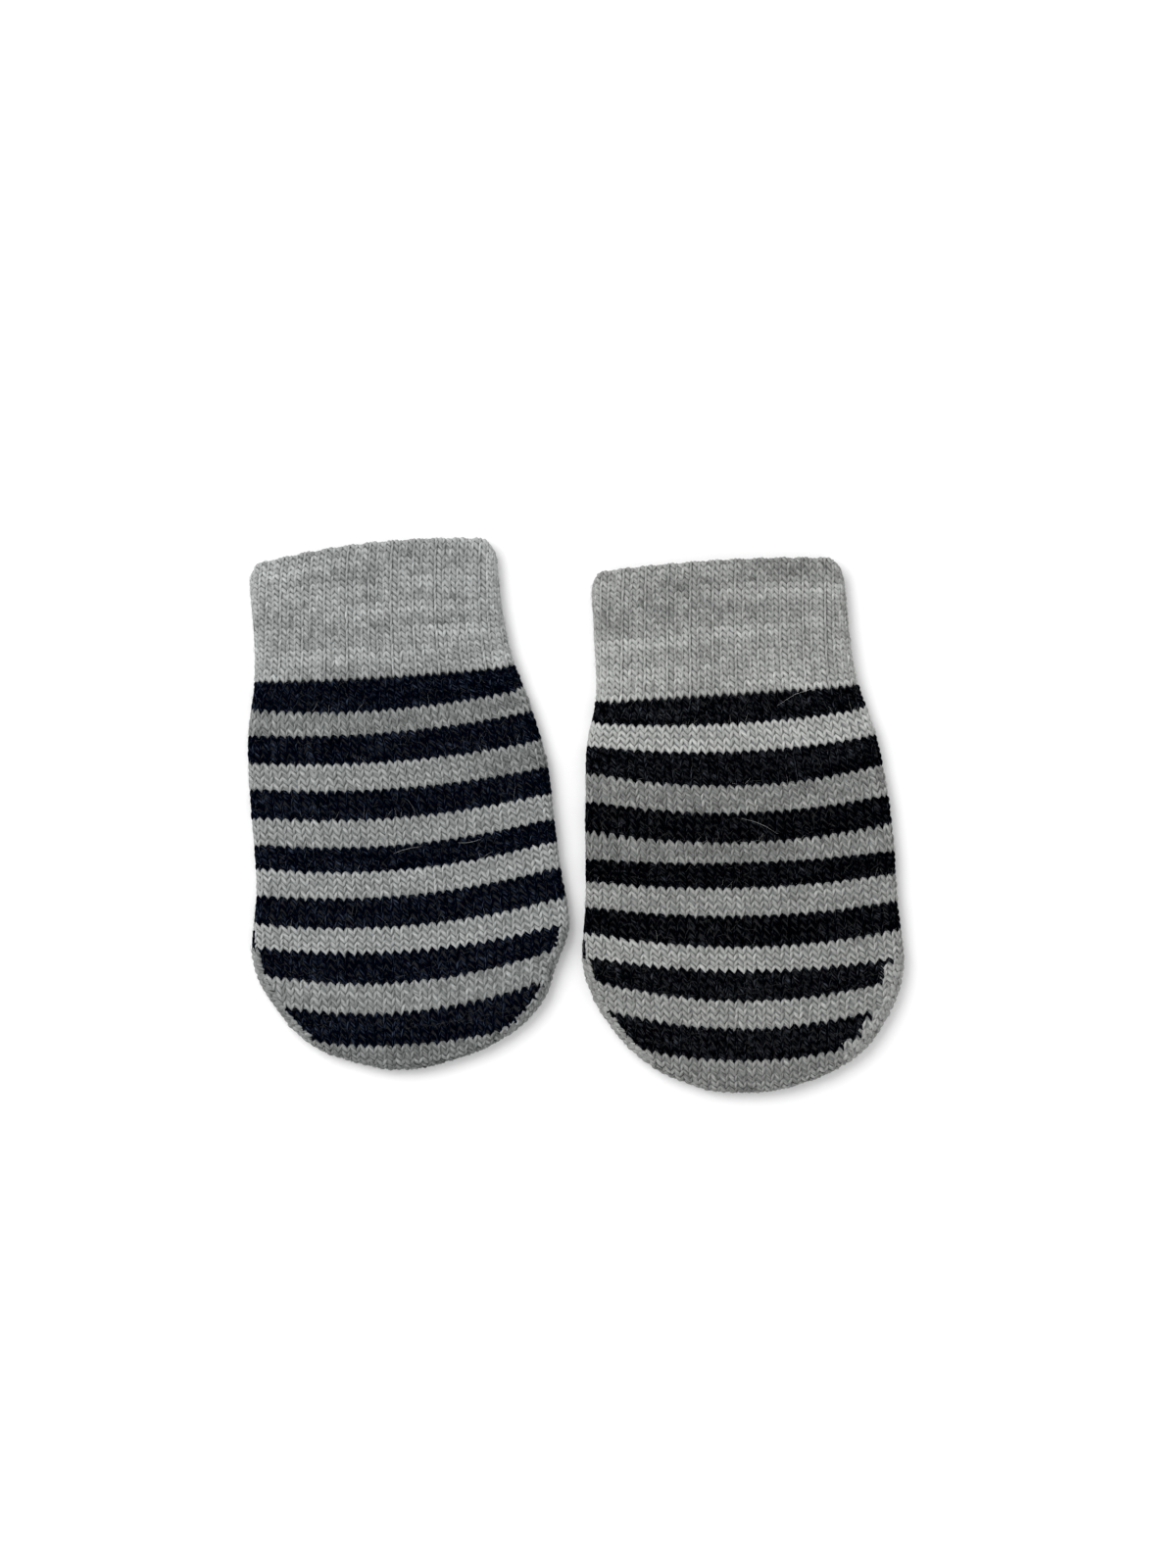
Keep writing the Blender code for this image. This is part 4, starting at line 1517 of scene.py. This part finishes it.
def lay_fibres(mitten, random):
    """Short loose fibres all over the upper layer and the rims."""
    row = random.uniform(*FIBRE_ROWS, (FIBRE_COUNT, 1))
    wale = random.uniform(-FIBRE_EDGE, WALES / 2 + FIBRE_EDGE, (FIBRE_COUNT, 1))
    turn = random.normal(*FIBRE_TURN, (FIBRE_COUNT, 1))
    length = random.uniform(*FIBRE_LENGTHS, (FIBRE_COUNT, 1))
    curl = random.normal(0, FIBRE_CURL, (FIBRE_COUNT, 1))
    along = np.linspace(0, 1, FIBRE_STEPS)
    ahead = length * along
    aside = length * curl * along ** 2 * FIBRE_BEND
    x = ahead * np.cos(turn) - aside * np.sin(turn)
    y = ahead * np.sin(turn) + aside * np.cos(turn)
    lift = random.uniform(*FIBRE_LIFTS, (FIBRE_COUNT, 1)) * np.sin(along * math.pi) ** FIBRE_ARCH
    spot = wale_spot(mitten, row + y / ROW_LENGTH, wale + x / HAND_PITCH)
    counts = np.cumsum([0] + [stripe.courses for stripe in mitten.stripes])
    ends = [HAND_ROW] + [stripe.end for stripe in mitten.stripes]
    course = np.interp(row[:, 0], ends, counts).astype(int)
    dark = (of_courses(mitten, "yarn")[course] == CHARCOAL) & (row[:, 0] > HAND_ROW)
    tone = np.where(dark[:, None], [FIBRES_ON_CHARCOAL], [FIBRES_ON_GREY])
    shade = random.uniform(tone[:, 0], tone[:, 1])
    name = f"{mitten.side}_loose_fibres"
    return thin_threads(name, mitten, spot, FIBRE_DEPTH - lift, FIBRE_WIDTH, shade, random)


def lay_hairs(mitten, random):
    """The shed hairs, which lie across the stitches."""
    hairs = HAIRS[mitten.side]
    start = np.array([hair.start for hair in hairs])[:, None]
    end = np.array([hair.end for hair in hairs])[:, None]
    bow = np.array([hair.bow for hair in hairs])[:, None, None]
    along = np.linspace(0, 1, FIBRE_STEPS)[:, None]
    beside = unit((end - start) @ np.array([[0, 1], [-1, 0]]))
    plan = start + (end - start) * along + bow * beside * np.sin(along * math.pi)
    station, across = row_of(mitten, plan)
    spot = tube_spot(mitten, station, across, math.pi / 2)
    depth = np.full(station.shape, HAIR_DEPTH)
    shade = np.full(len(hairs), HAIR_TONE)
    return thin_threads(f"{mitten.side}_shed_hairs", mitten, spot, depth, HAIR_WIDTH, shade, random)


print(FIBRE_COUNT, "loose fibres and", len(HAIRS["left"]), "shed hairs on each mitten")

# %% [markdown]
# ## Knitting
#
# All that differs from stitch to stitch is drawn from one random generator for each mitten.
# Its seed is fixed, so the same mittens come out each time. The cuff comes first, as it does
# on the machine, then the hand and the tip, and the fuzz and the hairs go on last.

# %% Knit both mittens
KNIT_SEED = {"left": 11, "right": 23}
stitches = {}
for mitten in mittens:
    random = np.random.default_rng(KNIT_SEED[mitten.side])
    stitches[mitten.side] = [lay_cuff(mitten, random), lay_hand(mitten, random), lay_tip(mitten, random)]
    stitches[mitten.side][1] += [lay_fibres(mitten, random), lay_hairs(mitten, random)]
    for group in stitches[mitten.side]:
        for piece in group:
            triangles = sum(len(face.vertices) - 2 for face in piece.data.polygons)
            print(piece.name, len(piece.data.polygons), "faces,", triangles, "triangles")

# %% [markdown]
# ## The cloth of each part
#
# Each shell stands for its solid, which is hidden. The area of its cloth is worked out from the way
# round the tube, summed down the length of what shows, with a strip round the tip's closed end.

LENGTH_SAMPLES = 40       # down a part

for mitten in mittens:
    parts = (("cuff", CUFF_ROW, HAND_ROW), ("hand", HAND_ROW, TIP_ROW), ("tip", TIP_ROW, TOE_ROW))
    for (part, top_row, low_row), shell, group in zip(parts, shells[mitten.side], stitches[mitten.side]):
        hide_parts(f"{mitten.side}_{part}")
        station = np.linspace(top_row, low_row, LENGTH_SAMPLES)
        left, right, _, _, middle_y, _ = folds(mitten.table, station)
        rounds = 2 * (np.linalg.norm(right - left, axis=-1) + 2 * QUARTER)
        area = ((rounds[1:] + rounds[:-1]) / 2 * -np.diff(middle_y)).sum()
        if part == "tip":
            area += rounds[-1] * EDGE_RADIUS
